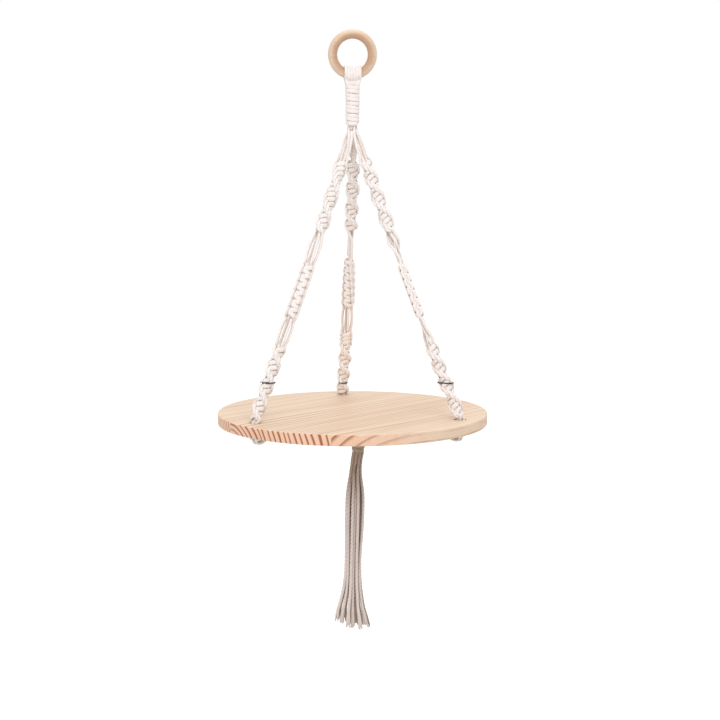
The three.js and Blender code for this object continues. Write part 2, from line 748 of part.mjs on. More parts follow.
for (const name of Object.keys(strapAzimuthShares)) {
  add(`${name}_binding_thread`, 'thread', bindingThread(strapOf(name), threadHeightShares[name]));
}

export default object;
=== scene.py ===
"""A hanging rope shelf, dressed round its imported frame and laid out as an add-on.

A round pine board hangs from a turned wooden ring on six folded cotton cords. Their twelve ends make
three straps of four cords, knotted in a twisted row, a flat row and another twisted row, and end in a
tassel below the board. Lengths are in metres, +Z is up and the origin is at the top of the ring's eye.
"""

import math

import bmesh
import bpy
import numpy as np
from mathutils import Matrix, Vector


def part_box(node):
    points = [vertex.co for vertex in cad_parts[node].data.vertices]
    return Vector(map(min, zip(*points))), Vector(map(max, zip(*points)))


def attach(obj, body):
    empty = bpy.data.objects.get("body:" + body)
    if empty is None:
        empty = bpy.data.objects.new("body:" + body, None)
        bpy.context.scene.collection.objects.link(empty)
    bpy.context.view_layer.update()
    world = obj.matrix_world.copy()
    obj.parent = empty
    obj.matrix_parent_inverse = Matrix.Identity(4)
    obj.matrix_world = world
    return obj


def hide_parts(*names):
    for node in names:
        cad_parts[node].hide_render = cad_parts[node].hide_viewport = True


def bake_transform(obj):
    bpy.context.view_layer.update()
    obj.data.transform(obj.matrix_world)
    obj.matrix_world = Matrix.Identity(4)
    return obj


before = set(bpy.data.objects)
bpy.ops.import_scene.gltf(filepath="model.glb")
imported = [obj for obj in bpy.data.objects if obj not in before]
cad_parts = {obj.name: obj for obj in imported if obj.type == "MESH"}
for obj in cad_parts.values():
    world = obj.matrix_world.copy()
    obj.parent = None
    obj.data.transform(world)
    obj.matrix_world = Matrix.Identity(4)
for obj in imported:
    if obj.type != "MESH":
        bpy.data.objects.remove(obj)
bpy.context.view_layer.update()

bl_info = {
    "name": "Hanging Rope Shelf",
    "version": (1, 0, 0),
    "blender": (4, 5, 0),
    "location": "3D View > Sidebar > Rope Shelf",
    "description": "Builds a round pine shelf that hangs on three knotted cotton straps",
    "category": "Add Mesh",
}

MM = 0.001
FULL = 2 * math.pi
DOWN = np.array([0, 0, -1.0])

# Straps, by name: the azimuth of each hole, and how far down its strap each dark thread is tied, as a
# share of the strap's length
AZIMUTHS = {"back": FULL * 3 / 12, "left": FULL * 7 / 12, "right": FULL * 11 / 12}
THREAD_SHARES = {"back": 0.953, "left": 0.866, "right": 0.875}

# The way that a strap faces, in degrees, at distances down it, in millimetres. It turns evenly from each
# to the next, and faces the front at 264.5 and every half turn from there.
FACINGS = {
    "back": ((42, -519), (62.5, -365.5), (87, -185.5), (110, -5.5), (130, 186), (160, 196), (220, 252),
             (268, 270), (280, 354.5), (301.5, 534.5), (323, 714.5), (335, 815)),
    "left": ((42, -290), (66, -185.5), (97, -5.5), (121, 174.5), (128, 245), (161, 270), (219, 270),
             (254, 264.5), (265, 354.5), (287, 534.5), (309, 714.5), (335, 927)),
    "right": ((42, -425), (50, -365.5), (71, -185.5), (95, -5.5), (121, 174.5), (127, 236), (145, 345),
              (161, 355), (215, 355), (235, 368), (254, 430), (268, 534.5), (288, 714.5), (310, 894.5),
              (335, 1064)),
}

# How far a strap hangs to the right of its straight line, in millimetres, at shares of its length
BOW_SHARES = (0, 0.18, 0.33, 0.5, 0.65, 0.82, 1)
BOWS = {
    "back": (0, 2.8, 2.8, 2.8, 2.4, 1.8, 0),
    "left": (0, 2.0, 2.5, 2.4, 1.4, 0.2, 0),
    "right": (0, -0.7, -1.2, -2.4, -2.6, -2.4, 0),
}

# The ring's centre, and from there to the middle of its section
RING_CENTRE_Z = -16.5 * MM
RING_MIDDLE = 21.5 * MM

# Heights, the holes' distance from the middle, and how far the gathered cords stand to the right
BUNDLE_TOP_Z = -47.5 * MM
APEX_Z = -92.5 * MM
BOARD_TOP_Z = -406 * MM
BOARD_BOTTOM_Z = -418 * MM
HOLE_RADIUS = 128.8 * MM
GATHER_TOP_Z = -439.7 * MM
GATHER_BOTTOM_Z = -452.1 * MM
GATHER_SHIFT = 6.5 * MM
NECK_MIDDLE_Z = -455.5 * MM
NECK_BOTTOM_Z = -462.4 * MM
TASSEL_LENGTH = 192 * MM

# The tassel is painted darker from the first of these heights upwards, and darkest at the second, as painted
# shadow of the board above it
TASSEL_SHADOW_END_Z = -525 * MM
TASSEL_SHADOW_FULL_Z = -450 * MM

# Planks of the board: where each starts, across the grain from the joint that is named first, then the
# place of its log's heart, across from that joint and up from the middle of the board, the width of its
# growth rings and how dark their late wood is
FIRST_JOINT = (-35 * MM, -145 * MM)
GRAIN_ANGLE = math.radians(42)
PLANKS = (
    (-200 * MM, -62 * MM, -42 * MM, 9 * MM, 0.8),
    (0 * MM, 128 * MM, -31 * MM, 5.8 * MM, 2.2),
    (131 * MM, 262 * MM, -45 * MM, 5.2 * MM, 1.2),
)

# A third of the board's face: steps along its rim and along each straight edge, and where its rows of
# points lie, as shares of the way from the hole to the outline
BOARD_ARC_STEPS = 72
BOARD_EDGE_STEPS = 30
BOARD_SHARES = (0, 0.02, 0.08, 0.3, 0.6, 0.9, 0.98, 1)

# Rows of knots down a strap, and the free stretches above and between them
FIRST_FREE = 42 * MM
SECOND_FREE = 39.5 * MM
THIRD_FREE = 35 * MM
FOOT_FREE = 3 * MM
SPIRAL_PITCH = 5 * MM
SQUARE_PITCH = 4.8 * MM
UPPER_KNOTS = 16
SQUARE_KNOTS = 12
LOWER_KNOTS = 16

# The stop knot under the board and the runs to the middle, as depths below the board's top
HOLE_DEPTH = 12 * MM
STOP_START = 13.2 * MM
STOP_END = STOP_START + SQUARE_PITCH
RUN_DEPTH = STOP_END + 5 * MM
GATHER_DEPTH = BOARD_TOP_Z - GATHER_TOP_Z
RUN_DIAMETER = 2.6 * MM
RUN_RISE = 7 * MM
UPPER_RUN_RISE = 2.8 * MM
UPPER_RUN_BEND = 1.6 * MM
LOWER_RUN_BEND = 3 * MM

# Places beside and out from the line in the holes and where the runs start, and how far from the middle
# each kind of cord goes down into the bundle
HOLE_KNOTTING_PLACE = 4 * MM
HOLE_FILLER_PLACE = 1.3 * MM
HOLE_FILLER_OUT = 2.6 * MM
RUN_KNOTTING_PLACE = 2.95 * MM
KNOTTING_GATHER = 3.5 * MM
UPPER_FILLER_GATHER = 1.7 * MM
LOWER_FILLER_GATHER = 4.6 * MM

# Filler cords: from the strap's line, inside the knots and between the rows, and their thickness there
FILLER_PLACE = 1.45 * MM
FILLER_SQUEEZED = 6.2 * MM
FILLER_ROW_END = 4.2 * MM
INNER_PLACE = 1.35 * MM
INNER_OUT = 1.6 * MM

# Knotting cords between the rows: beside the strap's line, and how far they swell out from there
OUTER_PLACE = 4.5 * MM
OUTER_SWELL = 1.2 * MM

# Where the stations of a knotting cord and of a filler stand between the rows, as shares of the stretch
SWELL_SHARES = np.array([0.1, 0.3, 0.5, 0.7, 0.9])
PAIR_SHARES = np.array([0.15, 0.32, 0.5, 0.68, 0.85])

# A half knot: its bar on a face of the fillers and its turns at their sides, each with its place, its
# slope as a share of the pitch, its thickness and its width. The bar's middle stands out a little more,
# and its width is a share of the pitch.
BAR_OUT = 3.65 * MM
BAR_CROWN = 0.25 * MM
BAR_END = 2.6 * MM
BAR_SLOPE = 0.22
BAR_THICKNESS = 2.1 * MM
BAR_WIDTH_SHARE = 1.04
SIDE_PLACE = 5.7 * MM
SIDE_OUT = 1.9 * MM
SIDE_SLOPE = 0.18
SIDE_THICKNESS = 2.6 * MM
SIDE_WIDTH = 3.3 * MM
BESIDE_WIDTH = 2.7 * MM

# Windings: the pitch of their turns, the cord's thickness, and the angle over which an end dives in
WINDING_PITCH = 4.25 * MM
WINDING_THICKNESS = 2.2 * MM
WINDING_DIVE = 0.35
UPPER_WINDING_WIDTH = 4.35 * MM
UNDER_WINDING_WIDTH = 4.4 * MM
UNDER_WINDING_RADIUS = 6.2 * MM

# Twelve cords side by side: the diameter of one and the gap to the next, where the straps start and in
# the tassel's neck
START_PACK = (2.4 * MM, 0.1 * MM)
NECK_PACK = (2.9 * MM, 0.3 * MM)

# Rings that round off the end of a cord, as angles on a quarter circle
END_ANGLES = np.array([1.45, 1.2, 0.8, 0.4])


# Small helpers for arrays of points
def unit(vectors):
    """Vectors divided by their own lengths."""
    return vectors / np.maximum(np.linalg.norm(vectors, axis=-1, keepdims=True), 1e-12)


def columns(*parts):
    """Parts side by side as the columns of one array, each stretched to the longest."""
    blocks = [np.reshape(part, (-1, 1)) if np.ndim(part) < 2 else part for part in parts]
    rows = max(len(block) for block in blocks)
    return np.hstack([np.broadcast_to(block, (rows, np.shape(block)[1])) for block in blocks])


def smooth_line(stations, step):
    """Rows of numbers made into many close ones: between two stations each column is the cubic that
    meets both, and its slope at a station is the mean of the two chords there, each weighted by the
    length of the other. Steps are even along the chords."""
    chords = np.linalg.norm(np.diff(stations[:, :3], axis=0), axis=1)
    keep = np.concatenate([[True], chords > 1e-7])
    rows = stations[keep]
    chords = np.linalg.norm(np.diff(rows[:, :3], axis=0), axis=1)
    at = np.concatenate([[0], np.cumsum(chords)])
    slope = np.diff(rows, axis=0) / chords[:, None]
    before, after = chords[:-1, None], chords[1:, None]
    inner = (slope[:-1] * after + slope[1:] * before) / (before + after)
    slopes = np.vstack([slope[:1], inner, slope[-1:]])
    count = max(int(round(at[-1] / step)), 4)
    along = np.linspace(0, at[-1], count + 1)
    i = np.clip(np.searchsorted(at, along, side="right") - 1, 0, len(chords) - 1)
    h = chords[i][:, None]
    t = ((along - at[i])[:, None]) / h
    return ((2 * t**3 - 3 * t**2 + 1) * rows[i] + (t**3 - 2 * t**2 + t) * h * slopes[i]
            + (3 * t**2 - 2 * t**3) * rows[i + 1] + (t**3 - t**2) * h * slopes[i + 1])


# Meshes from arrays
def mesh_piece(name, points, faces, uv=None, smooth=True):
    """A mesh object from an array of points, arrays of corner numbers, one array for each count of
    corners, and a place in the UV map for each corner."""
    mesh = bpy.data.meshes.new(name)
    corners = np.concatenate([f.ravel() for f in faces]).astype(np.int32)
    counts = np.concatenate([np.full(len(f), f.shape[1]) for f in faces])
    starts = np.concatenate([[0], np.cumsum(counts)[:-1]]).astype(np.int32)
    mesh.vertices.add(len(points))
    mesh.vertices.foreach_set("co", np.asarray(points, np.float32).ravel())
    mesh.loops.add(len(corners))
    mesh.loops.foreach_set("vertex_index", corners)
    mesh.polygons.add(len(counts))
    mesh.polygons.foreach_set("loop_start", starts)
    mesh.update(calc_edges=True)
    mesh.polygons.foreach_set("use_smooth", np.full(len(counts), smooth))
    if uv is not None:
        layer = mesh.uv_layers.new(name="Lay")
        layer.uv.foreach_set("vector", np.asarray(uv, np.float32).ravel())
    mesh.validate()
    obj = bpy.data.objects.new(name, mesh)
    bpy.context.collection.objects.link(obj)
    return obj


def skin(rings, places, closed=False):
    """Corner numbers and UV places for rings of points joined in order. The points run round each
    ring, u is the share of the way round, and v is the ring's own place."""
    count, sides = rings.shape[:2]
    i = np.arange(count if closed else count - 1)[:, None]
    k = np.arange(sides)[None, :]
    onward, beside = (i + 1) % count, (k + 1) % sides
    quads = np.stack([i * sides + k, i * sides + beside, onward * sides + beside, onward * sides + k], -1)
    u = np.stack(np.broadcast_arrays(k, k + 1, k + 1, k), -1) / sides
    v = places[i] + 0 * k
    w = (np.append(places, 2 * places[-1] - places[-2])[i + 1]) + 0 * k
    uv = np.stack([np.broadcast_to(u, v.shape + (4,)), np.stack([v, v, w, w], -1)], -1)
    return quads.reshape(-1, 4), uv.reshape(-1, 2)


def cord_rings(line, sides, plies, lay, dip):
    """Rings round a line whose columns are place, the way the thickness points, thickness and width.
    A ring is an ellipse square to the line, and its radius dips between the plies, which turn once
    round in each length of lay. The two ends are rounded off as quarter circles."""
    at, out, thick, wide = line[:, :3], line[:, 3:6], line[:, 6] / 2, line[:, 7] / 2
    way = unit(np.gradient(at, axis=0))
    up = unit(out - way * np.sum(out * way, axis=1, keepdims=True))
    side = np.cross(way, up)
    run = np.concatenate([[0], np.cumsum(np.linalg.norm(np.diff(at, axis=0), axis=1))])
    ends = len(END_ANGLES)
    lead = np.concatenate([np.cos(END_ANGLES), np.ones(len(at)), np.cos(END_ANGLES[::-1])])
    pick = np.concatenate([np.zeros(ends, int), np.arange(len(at)), np.full(ends, len(at) - 1)])
    shift = np.concatenate([-np.sin(END_ANGLES) * thick[0], np.zeros(len(at)),
                            np.sin(END_ANGLES[::-1]) * thick[-1]])
    angle = FULL * np.arange(sides) / sides
    ply = 1 - dip * (1 - np.abs(np.cos(plies / 2 * (angle[None, :] - FULL * run[pick][:, None] / lay))))
    cos, sin = np.cos(angle)[None, :, None], np.sin(angle)[None, :, None]
    ellipse = (up[pick][:, None] * cos * thick[pick][:, None, None]
               + side[pick][:, None] * sin * wide[pick][:, None, None])
    centre = at[pick] + way[pick] * shift[:, None]
    return centre[:, None] + ellipse * (ply * lead[:, None])[..., None], (run[pick] + shift) / lay


def cord_mesh(name, stations, step=0.9 * MM, sides=18, plies=3, lay=9 * MM, dip=0.03):
    """A cord as one closed tube along a smooth line through its stations. A fan of triangles round a
    pole closes each end."""
    rings, places = cord_rings(smooth_line(stations, step), sides, plies, lay, dip)
    quads, uv = skin(rings, places)
    count = rings.shape[0] * sides
    k = np.arange(sides)
    first = np.stack([np.full(sides, count), (k + 1) % sides, k], -1)
    last = np.stack([np.full(sides, count + 1), count - sides + k, count - sides + (k + 1) % sides], -1)
    fan = np.stack([(k + 0.5) / sides, (k + 1) / sides, k / sides], -1)
    tip = lambda u, place: np.stack([u, np.full(u.shape, place)], -1).reshape(-1, 2)
    uvs = np.vstack([uv, tip(fan, places[0]), tip(fan[:, [0, 2, 1]], places[-1])])
    poles = np.stack([rings[0].mean(axis=0), rings[-1].mean(axis=0)])
    return mesh_piece(name, np.vstack([rings.reshape(-1, 3), poles]), [quads, first, last], uvs)


def closed_cord_mesh(name, line, sides, plies, lay, dip=0.14):
    """A cord that closes on itself: the same ellipses and plies, carried round a closed line, with the
    lay stretched to a whole number of turns."""
    before, after = np.roll(line[:, :3], 1, axis=0), np.roll(line[:, :3], -1, axis=0)
    way = unit(after - before)
    up = unit(line[:, 3:6] - way * np.sum(line[:, 3:6] * way, axis=1, keepdims=True))
    side = np.cross(way, up)
    angle = FULL * np.arange(sides) / sides
    run = np.concatenate([[0], np.cumsum(np.linalg.norm(np.diff(line[:, :3], axis=0), axis=1))])
    turns = max(round(run[-1] / lay), 1)
    places = turns * run / (run[-1] + np.linalg.norm(line[0, :3] - line[-1, :3]))
    ply = 1 - dip * (1 - np.abs(np.cos(plies / 2 * (angle[None, :] - FULL * places[:, None]))))
    thick, wide = line[:, 6, None, None] / 2, line[:, 7, None, None] / 2
    cos, sin = np.cos(angle)[None, :, None], np.sin(angle)[None, :, None]
    rings = line[:, None, :3] + (up[:, None] * (cos * thick) + side[:, None] * (sin * wide)) * ply[..., None]
    quads, uv = skin(rings, places, closed=True)
    return mesh_piece(name, rings.reshape(-1, 3), [quads], uv)


# Finishes
class Socket:
    """A value in a tree of nodes. Sums, products and powers of it add Math nodes."""

    def __init__(self, nodes, socket):
        self.nodes, self.socket = nodes, socket

    def math(self, operation, *others):
        """A Math node whose first input is this value."""
        return self.nodes.node("ShaderNodeMath", {"operation": operation}, dict(enumerate([self, *others])))

    def flipped(self, operation, other):
        """A Math node whose second input is this value."""
        return self.nodes.node("ShaderNodeMath", {"operation": operation}, {0: other, 1: self})

    __add__ = __radd__ = lambda self, other: self.math("ADD", other)
    __mul__ = __rmul__ = lambda self, other: self.math("MULTIPLY", other)
    __sub__ = lambda self, other: self.math("SUBTRACT", other)
    __rsub__ = lambda self, other: self.flipped("SUBTRACT", other)
    __truediv__ = lambda self, other: self.math("DIVIDE", other)
    __rtruediv__ = lambda self, other: self.flipped("DIVIDE", other)
    __pow__ = lambda self, other: self.math("POWER", other)
    __rpow__ = lambda self, other: self.flipped("POWER", other)

    def rise(self, low, high):
        """0 below low and 1 above high, with a smooth climb between."""
        return self.nodes.node("ShaderNodeMapRange", {"interpolation_type": "SMOOTHSTEP"},
                               {"Value": self, "From Min": low, "From Max": high})


class Nodes:
    """A tree of nodes, to which nodes are added one expression at a time."""

    def __init__(self, tree):
        self.tree = tree

    def link(self, value, socket):
        """Gives a socket a value, or a link where the value is a Socket."""
        if isinstance(value, Socket):
            self.tree.links.new(value.socket, socket)
        else:
            socket.default_value = value

    def node(self, kind, settings=None, inputs=None, output=0):
        """Adds a node, sets its settings, then gives its inputs values or links."""
        node = self.tree.nodes.new(kind)
        for key, value in (settings or {}).items():
            setattr(node, key, value)
        for key, value in (inputs or {}).items():
            self.link(value, node.inputs[key])
        return Socket(self, node.outputs[output])

    def seen(self):
        """1 where the camera looks, also in a mirror or through glass, and 0 for light on the object."""
        rays = [self.node("ShaderNodeLightPath", output=f"Is {kind} Ray")
                for kind in ("Camera", "Glossy", "Transmission")]
        return rays[0].math("MAXIMUM", rays[1]).math("MAXIMUM", rays[2])


class Finish(Nodes):
    """A material of this object's own."""

    def __init__(self, name, roughness, sheen=0.0):
        self.material = bpy.data.materials.new(name)
        self.material.use_nodes = True
        super().__init__(self.material.node_tree)
        self.shader = self.tree.nodes["Principled BSDF"]
        self.shader.inputs["Roughness"].default_value = roughness
        self.shader.inputs["Sheen Weight"].default_value = sheen
        self.shader.inputs["Sheen Roughness"].default_value = 0.6

    def noise(self, place, scale, detail=3.0, roughness=0.5):
        """Soft noise between 0 and 1."""
        return self.node("ShaderNodeTexNoise", {"noise_dimensions": "3D"},
                         {"Vector": place, "Scale": scale, "Detail": detail, "Roughness": roughness})

    def place(self, output="Object"):
        """The place in metres, or in the cord's own UV map."""
        return self.node("ShaderNodeTexCoord", output=output)

    def split(self, vector):
        """The three parts of a vector."""
        parts = self.node("ShaderNodeSeparateXYZ", inputs={0: vector})
        return [Socket(self, output) for output in parts.socket.node.outputs]

    def join(self, x, y, z):
        """A vector from three parts."""
        return self.node("ShaderNodeCombineXYZ", inputs={0: x, 1: y, 2: z})

    def mix(self, share, one, other):
        """A colour between two colours."""
        return self.node("ShaderNodeMix", {"data_type": "RGBA"}, {0: share, 6: one, 7: other}, 2)

    def tint(self, colour, value):
        """A colour times a value."""
        return self.node("ShaderNodeVectorMath", {"operation": "SCALE"}, {0: colour, 3: value})

    def bump(self, height, distance, strength):
        """Fine relief, where a height of 1 stands out by the distance."""
        normal = self.node("ShaderNodeBump",
                           inputs={"Height": height, "Distance": distance, "Strength": strength})
        self.link(normal, self.shader.inputs["Normal"])

    def colour(self, value):
        self.link(value, self.shader.inputs["Base Color"])

    def roughness(self, value):
        self.link(value, self.shader.inputs["Roughness"])


def rgba(colour):
    """A colour with full cover."""
    return (*colour[:3], 1.0)


def cotton(name, colour, shade, depth=0.07, fuzz=0.05, plies=3, inside=0.6, board_shadow_heights=None):
    """Soft twisted cotton. The grooves between the plies are painted darker, as painted shade, and fine yarns
    cross each ply as faint painted shade. A slow noise makes the cord a little uneven. The side of a cord
    that lies against its neighbours is painted darker, as painted shade between cords, and between the two
    heights given for the board's shadow the whole cord grows darker, as painted shadow of the board."""
    f = Finish(name, 0.95, sheen=0.25)
    u, v, _ = f.split(f.place("UV"))
    ply = ((u - v) * (math.pi * plies)).math("COSINE").math("ABSOLUTE")
    yarn = ((u * (7 * plies) + v * 4) * FULL).math("SINE") * 0.5 + 0.5
    place = f.place()
    uneven = f.noise(place, 60, 2)
    fibre = f.noise(place, 1400, 4, 0.7)
    # Painted shade: the grooves between the plies are mixed towards the shade colour, as much as depth
    groove = 1 - ply.rise(0.0, 0.75)
    # Painted shade between cords: the side facing away from the cord's out direction, where it lies against
    # its neighbours, is mixed towards the shade colour, as much as inside
    painted_contact_shade = (0 - (u * FULL).math("COSINE")).rise(-0.5, 0.8)
    share = groove * depth + (fibre - 0.5) * fuzz + (uneven - 0.5) * 0.2 + painted_contact_shade * inside
    # Painted shadow of the board: from the lower height up to the higher one the whole cord is mixed towards
    # the shade colour
    if board_shadow_heights:
        share = share + f.split(place)[2].rise(*board_shadow_heights) * 0.95
    f.colour(f.tint(f.mix(share, rgba(colour), rgba(shade)), 0.98 + yarn * 0.02))
    f.bump(ply * 0.4 + yarn * 0.15 + fibre * (2 * fuzz), 0.2 * MM, 0.3)
    return f.material


def pine(name, colours, grain_angle, joint, planks):
    """Pine planks glued edge to edge, all with one grain direction. In each plank a growth ring is a
    cylinder round the heart of its own log: the distance from the heart, bent a little by noise, gives
    the ring's place, pale early wood fades into dark late wood, and end grain is deeper in colour."""
    pale, line, end_pale, end_line = map(rgba, colours)
    f = Finish(name, 0.55)
    x, y, z = f.split(f.place())
    along_x, along_y = math.cos(grain_angle), math.sin(grain_angle)
    along = (x - joint[0]) * along_x + (y - joint[1]) * along_y
    across = (y - joint[1]) * along_x - (x - joint[0]) * along_y
    up = z - (BOARD_TOP_Z + BOARD_BOTTOM_Z) / 2
    (_, heart_across, heart_up, pitch, dark), seam = planks[0], 0.0
    for before, plank in zip(planks, planks[1:]):
        past = across.math("GREATER_THAN", plank[0])
        heart_across = past * (plank[1] - before[1]) + heart_across
        heart_up = past * (plank[2] - before[2]) + heart_up
        pitch = past * (plank[3] - before[3]) + pitch
        dark = past * (plank[4] - before[4]) + dark
        seam = (1 - (across - plank[0]).math("ABSOLUTE").rise(0.1 * MM, 0.5 * MM)) + seam
    wander = f.noise(f.join(along * 3.5, across * 14 + heart_up * 90, up * 14), 1.0, 2) - 0.5
    side = across - heart_across + wander * 14 * MM
    over = up - heart_up
    radius = (side * side + over * over) ** 0.5
    ring = radius / pitch + f.noise(f.join(radius * 60, heart_up * 50, 0.0), 1.0, 1) * 1.4
    phase = ring.math("FRACT")
    late = phase.rise(0.5, 0.92) * (1 - phase.rise(0.95, 1.0))
    uneven = f.noise(f.join(ring.math("FLOOR") * 0.7, 3.0, heart_up * 30), 1.0, 0)
    strength = uneven.rise(0.3, 0.7) + 0.2
    fibre = f.noise(f.join(along * 25, across * 900, up * 900), 1.0, 3, 0.6) - 0.5
    streak = f.noise(f.join(along * 5, across * 230, up * 230), 1.0, 3, 0.65) - 0.5
    tone = f.noise(f.join(along * 2, across * 22, up * 22), 1.0, 2) - 0.5
    nx, ny, nz = f.split(f.node("ShaderNodeNewGeometry", output="Normal"))
    endness = (nx * along_x + ny * along_y).math("ABSOLUTE").rise(0.1, 0.85)
    edge = 1 - nz.math("ABSOLUTE").rise(0.3, 0.8)
    long_share = late * strength * dark + streak * 2.2 + tone * 1.4 + fibre * 0.3 + seam * 0.3
    end_late = late * (strength * 0.5 + 0.4) * (dark * 0.7 + 0.5)
    end_share = end_late + streak * 0.25 + tone * 0.4 + fibre * 0.3 + seam * 0.2
    long_grain, end_grain = f.mix(long_share, pale, line), f.mix(end_share, end_pale, end_line)
    f.colour(f.mix(endness * edge, long_grain, end_grain))
    f.roughness(0.5 + late * -0.06 + fibre * 0.15)
    f.bump(fibre * 0.5 - late * 0.35, 0.12 * MM, 0.6)
    return f.material


def turned_wood(name, colour, shade):
    """Turned beech: long soft streaks across the ring, a few short darker flecks and a soft shine. The inner
    side of the ring is painted darker than its rim, as painted shade."""
    f = Finish(name, 0.4)
    x, y, z = f.split(f.place())
    wander = f.noise(f.join(x * 10, y * 30, z * 30), 1.0, 2) - 0.5
    streak = f.noise(f.join(x * 8, y * 220, (z + wander * 4 * MM) * 220), 1.0, 3, 0.55)
    fine = f.noise(f.join(x * 40, y * 900, z * 900), 1.0, 2)
    flecks = f.noise(f.join(x * 160, y * 1300, z * 1300), 1.0, 1).rise(0.66, 0.78)
    radius = (x * x + (z - RING_CENTRE_Z) ** 2) ** 0.5
    # Painted shade: from the middle of the ring's section inwards the colour is mixed towards the shade
    # colour
    inner = 1 - radius.rise(RING_MIDDLE - 2 * MM, RING_MIDDLE + 4 * MM)
    share = streak.rise(0.3, 0.75) * 0.4 + (fine - 0.5) * 0.12 + flecks * 0.12 + inner - 0.15
    f.colour(f.mix(share, rgba(colour), rgba(shade)))
    f.roughness(0.36 + streak * 0.12)
    f.bump(streak * 0.5 + fine * 0.3, 0.05 * MM, 0.4)
    return f.material


def thread(name, colour):
    """Dark waxed thread with a fine twist, painted lighter on its ridges and darker in its grooves, as
    painted highlight and shade.
    """
    f = Finish(name, 0.7)
    u, v, _ = f.split(f.place("UV"))
    # Painted highlight and shade: the colour is lighter on the twist's ridges and darker in its grooves
    twist = ((u - v) * FULL).math("SINE") * 0.5 + 0.5
    f.colour(f.tint(tuple(colour), 0.75 + twist * 0.5))
    f.bump(twist, 0.1 * MM, 0.6)
    return f.material


def finish_of(kind):
    """The material of a kind, made when it is first asked for and shared after that."""
    if kind in bpy.data.materials:
        return bpy.data.materials[kind]
    c = bpy.context.scene.rope_shelf_colours
    pine_colours = (c.pine, c.pine_line, c.pine_end, c.pine_end_line)
    # Heights of the board's painted shadow on the tassel
    board_shadow_heights = (TASSEL_SHADOW_END_Z, TASSEL_SHADOW_FULL_Z)
    makers = {
        "Cotton": lambda: cotton(kind, c.cotton, c.cotton_shade),
        # Painted shade between the winding's turns and between the loops, at a lower share
        "Winding Cotton": lambda: cotton(kind, c.winding, c.cotton_shade, 0.04, 0.03, inside=0.35),
        # Painted light and shade: the back strap is the same cotton, made paler against the shadow of the
        # front straps, with warmer grooves
        "Back Cotton Painted Light": lambda: cotton(kind, c.back_cotton_painted_light, c.back_painted_shade),
        # Painted shade: the tassel, its neck and the winding under the board are the straps' cotton in darker
        # colours, for the shade under the board
        "Shaded Tassel Cotton": lambda: cotton(kind, c.tassel, c.tassel_shade, 0.3, 0.3, 2, 0.8, board_shadow_heights),
        "Pine": lambda: pine(kind, pine_colours, GRAIN_ANGLE, FIRST_JOINT, PLANKS),
        "Turned Wood": lambda: turned_wood(kind, c.ring, c.ring_grain_and_shade),
        "Thread": lambda: thread(kind, c.thread),
    }
    return makers[kind]()


def dress(obj, kind, body, nodes=(), blend=None):
    """Gives a piece its finish and hides the nodes that it stands for. With a blend, the piece's place is
    only baked into its mesh; without one, the piece is attached to its body.
    """
    obj.data.materials.clear()
    obj.data.materials.append(finish_of(kind))
    if nodes:
        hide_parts(*nodes)
    if blend:
        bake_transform(obj)
    else:
        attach(obj, body)
    return obj


def pack_places(azimuth, diameter, apart):
    """Twelve cords pressed together are three in the middle and nine round them. These are the inner
    place and the three outer places of the third about an azimuth."""
    inner = (diameter + apart) / math.sqrt(3)
    outer = inner + diameter + apart
    spread = FULL / 9
    radius = np.array([inner, outer, outer, outer])
    angle = azimuth + np.array([0, -spread, 0, spread])
    return np.stack([radius * np.cos(angle), radius * np.sin(angle)], -1)


class Strap:
    """One strap's line from the apex to its hole, its rows and its turn at any distance down it."""

    def __init__(self, name):
        self.name, self.azimuth = name, AZIMUTHS[name]
        self.outward = np.array([math.cos(self.azimuth), math.sin(self.azimuth), 0.0])
        self.across = np.array([-math.sin(self.azimuth), math.cos(self.azimuth), 0.0])
        self.top = np.array([0, 0, APEX_Z])
        self.foot = self.outward * HOLE_RADIUS + [0, 0, BOARD_TOP_Z]
        self.length = float(np.linalg.norm(self.foot - self.top))
        self.along = (self.foot - self.top) / self.length
        self.upper_start = FIRST_FREE
        self.upper_end = self.upper_start + UPPER_KNOTS * SPIRAL_PITCH
        self.square_start = self.upper_end + SECOND_FREE
        self.square_end = self.square_start + SQUARE_KNOTS * SQUARE_PITCH
        self.lower_start = self.square_end + THIRD_FREE
        self.lower_end = self.length - FOOT_FREE
        self.lower_pitch = (self.lower_end - self.lower_start) / LOWER_KNOTS
        self.marks, self.facings = np.array(FACINGS[name]).T * [[MM], [math.radians(1)]]
        self.start_turn = round(self.turn(0.0) / math.pi) * math.pi
        self.foot_turn = float(self.turn(self.length))
        self.under_turn = round(self.foot_turn / math.pi) * math.pi

    def turn(self, distance):
        """How far the strap is turned about its own line at a distance from the apex."""
        return self.azimuth - np.interp(distance, self.marks, self.facings)

    def bow(self, distance):
        """How far the line hangs to the side at a distance from the apex."""
        right = np.array([MM, 0, 0])
        return np.interp(distance / self.length, BOW_SHARES, BOWS[self.name])[..., None] * right

    def lean(self, u, v, turn, along=None):
        """Across and out from the line, both turned about it."""
        out = np.cross(self.along if along is None else along, self.across)
        u, v, turn = np.broadcast_arrays(*(np.asarray(a, float) for a in (u, v, turn)))
        return ((u * np.cos(turn) - v * np.sin(turn))[..., None] * self.across
                + (u * np.sin(turn) + v * np.cos(turn))[..., None] * out)

    def place(self, distance, u, v, turn):
        """A place at a distance down the strap, across and out from its line."""
        distance = np.asarray(distance, float)
        return self.top + distance[..., None] * self.along + self.bow(distance) + self.lean(u, v, turn)

    def under_lean(self, u, v, turn):
        return self.lean(u, v, turn, DOWN)

    def under_place(self, depth, u, v, turn):
        """A place at a depth below the board's top, across and out from the middle of the hole."""
        return self.foot + np.asarray(depth, float)[..., None] * DOWN + self.under_lean(u, v, turn)


def round_stations(at, out, diameter):
    """Stations of a round cord."""
    return columns(at, unit(out), diameter, diameter)


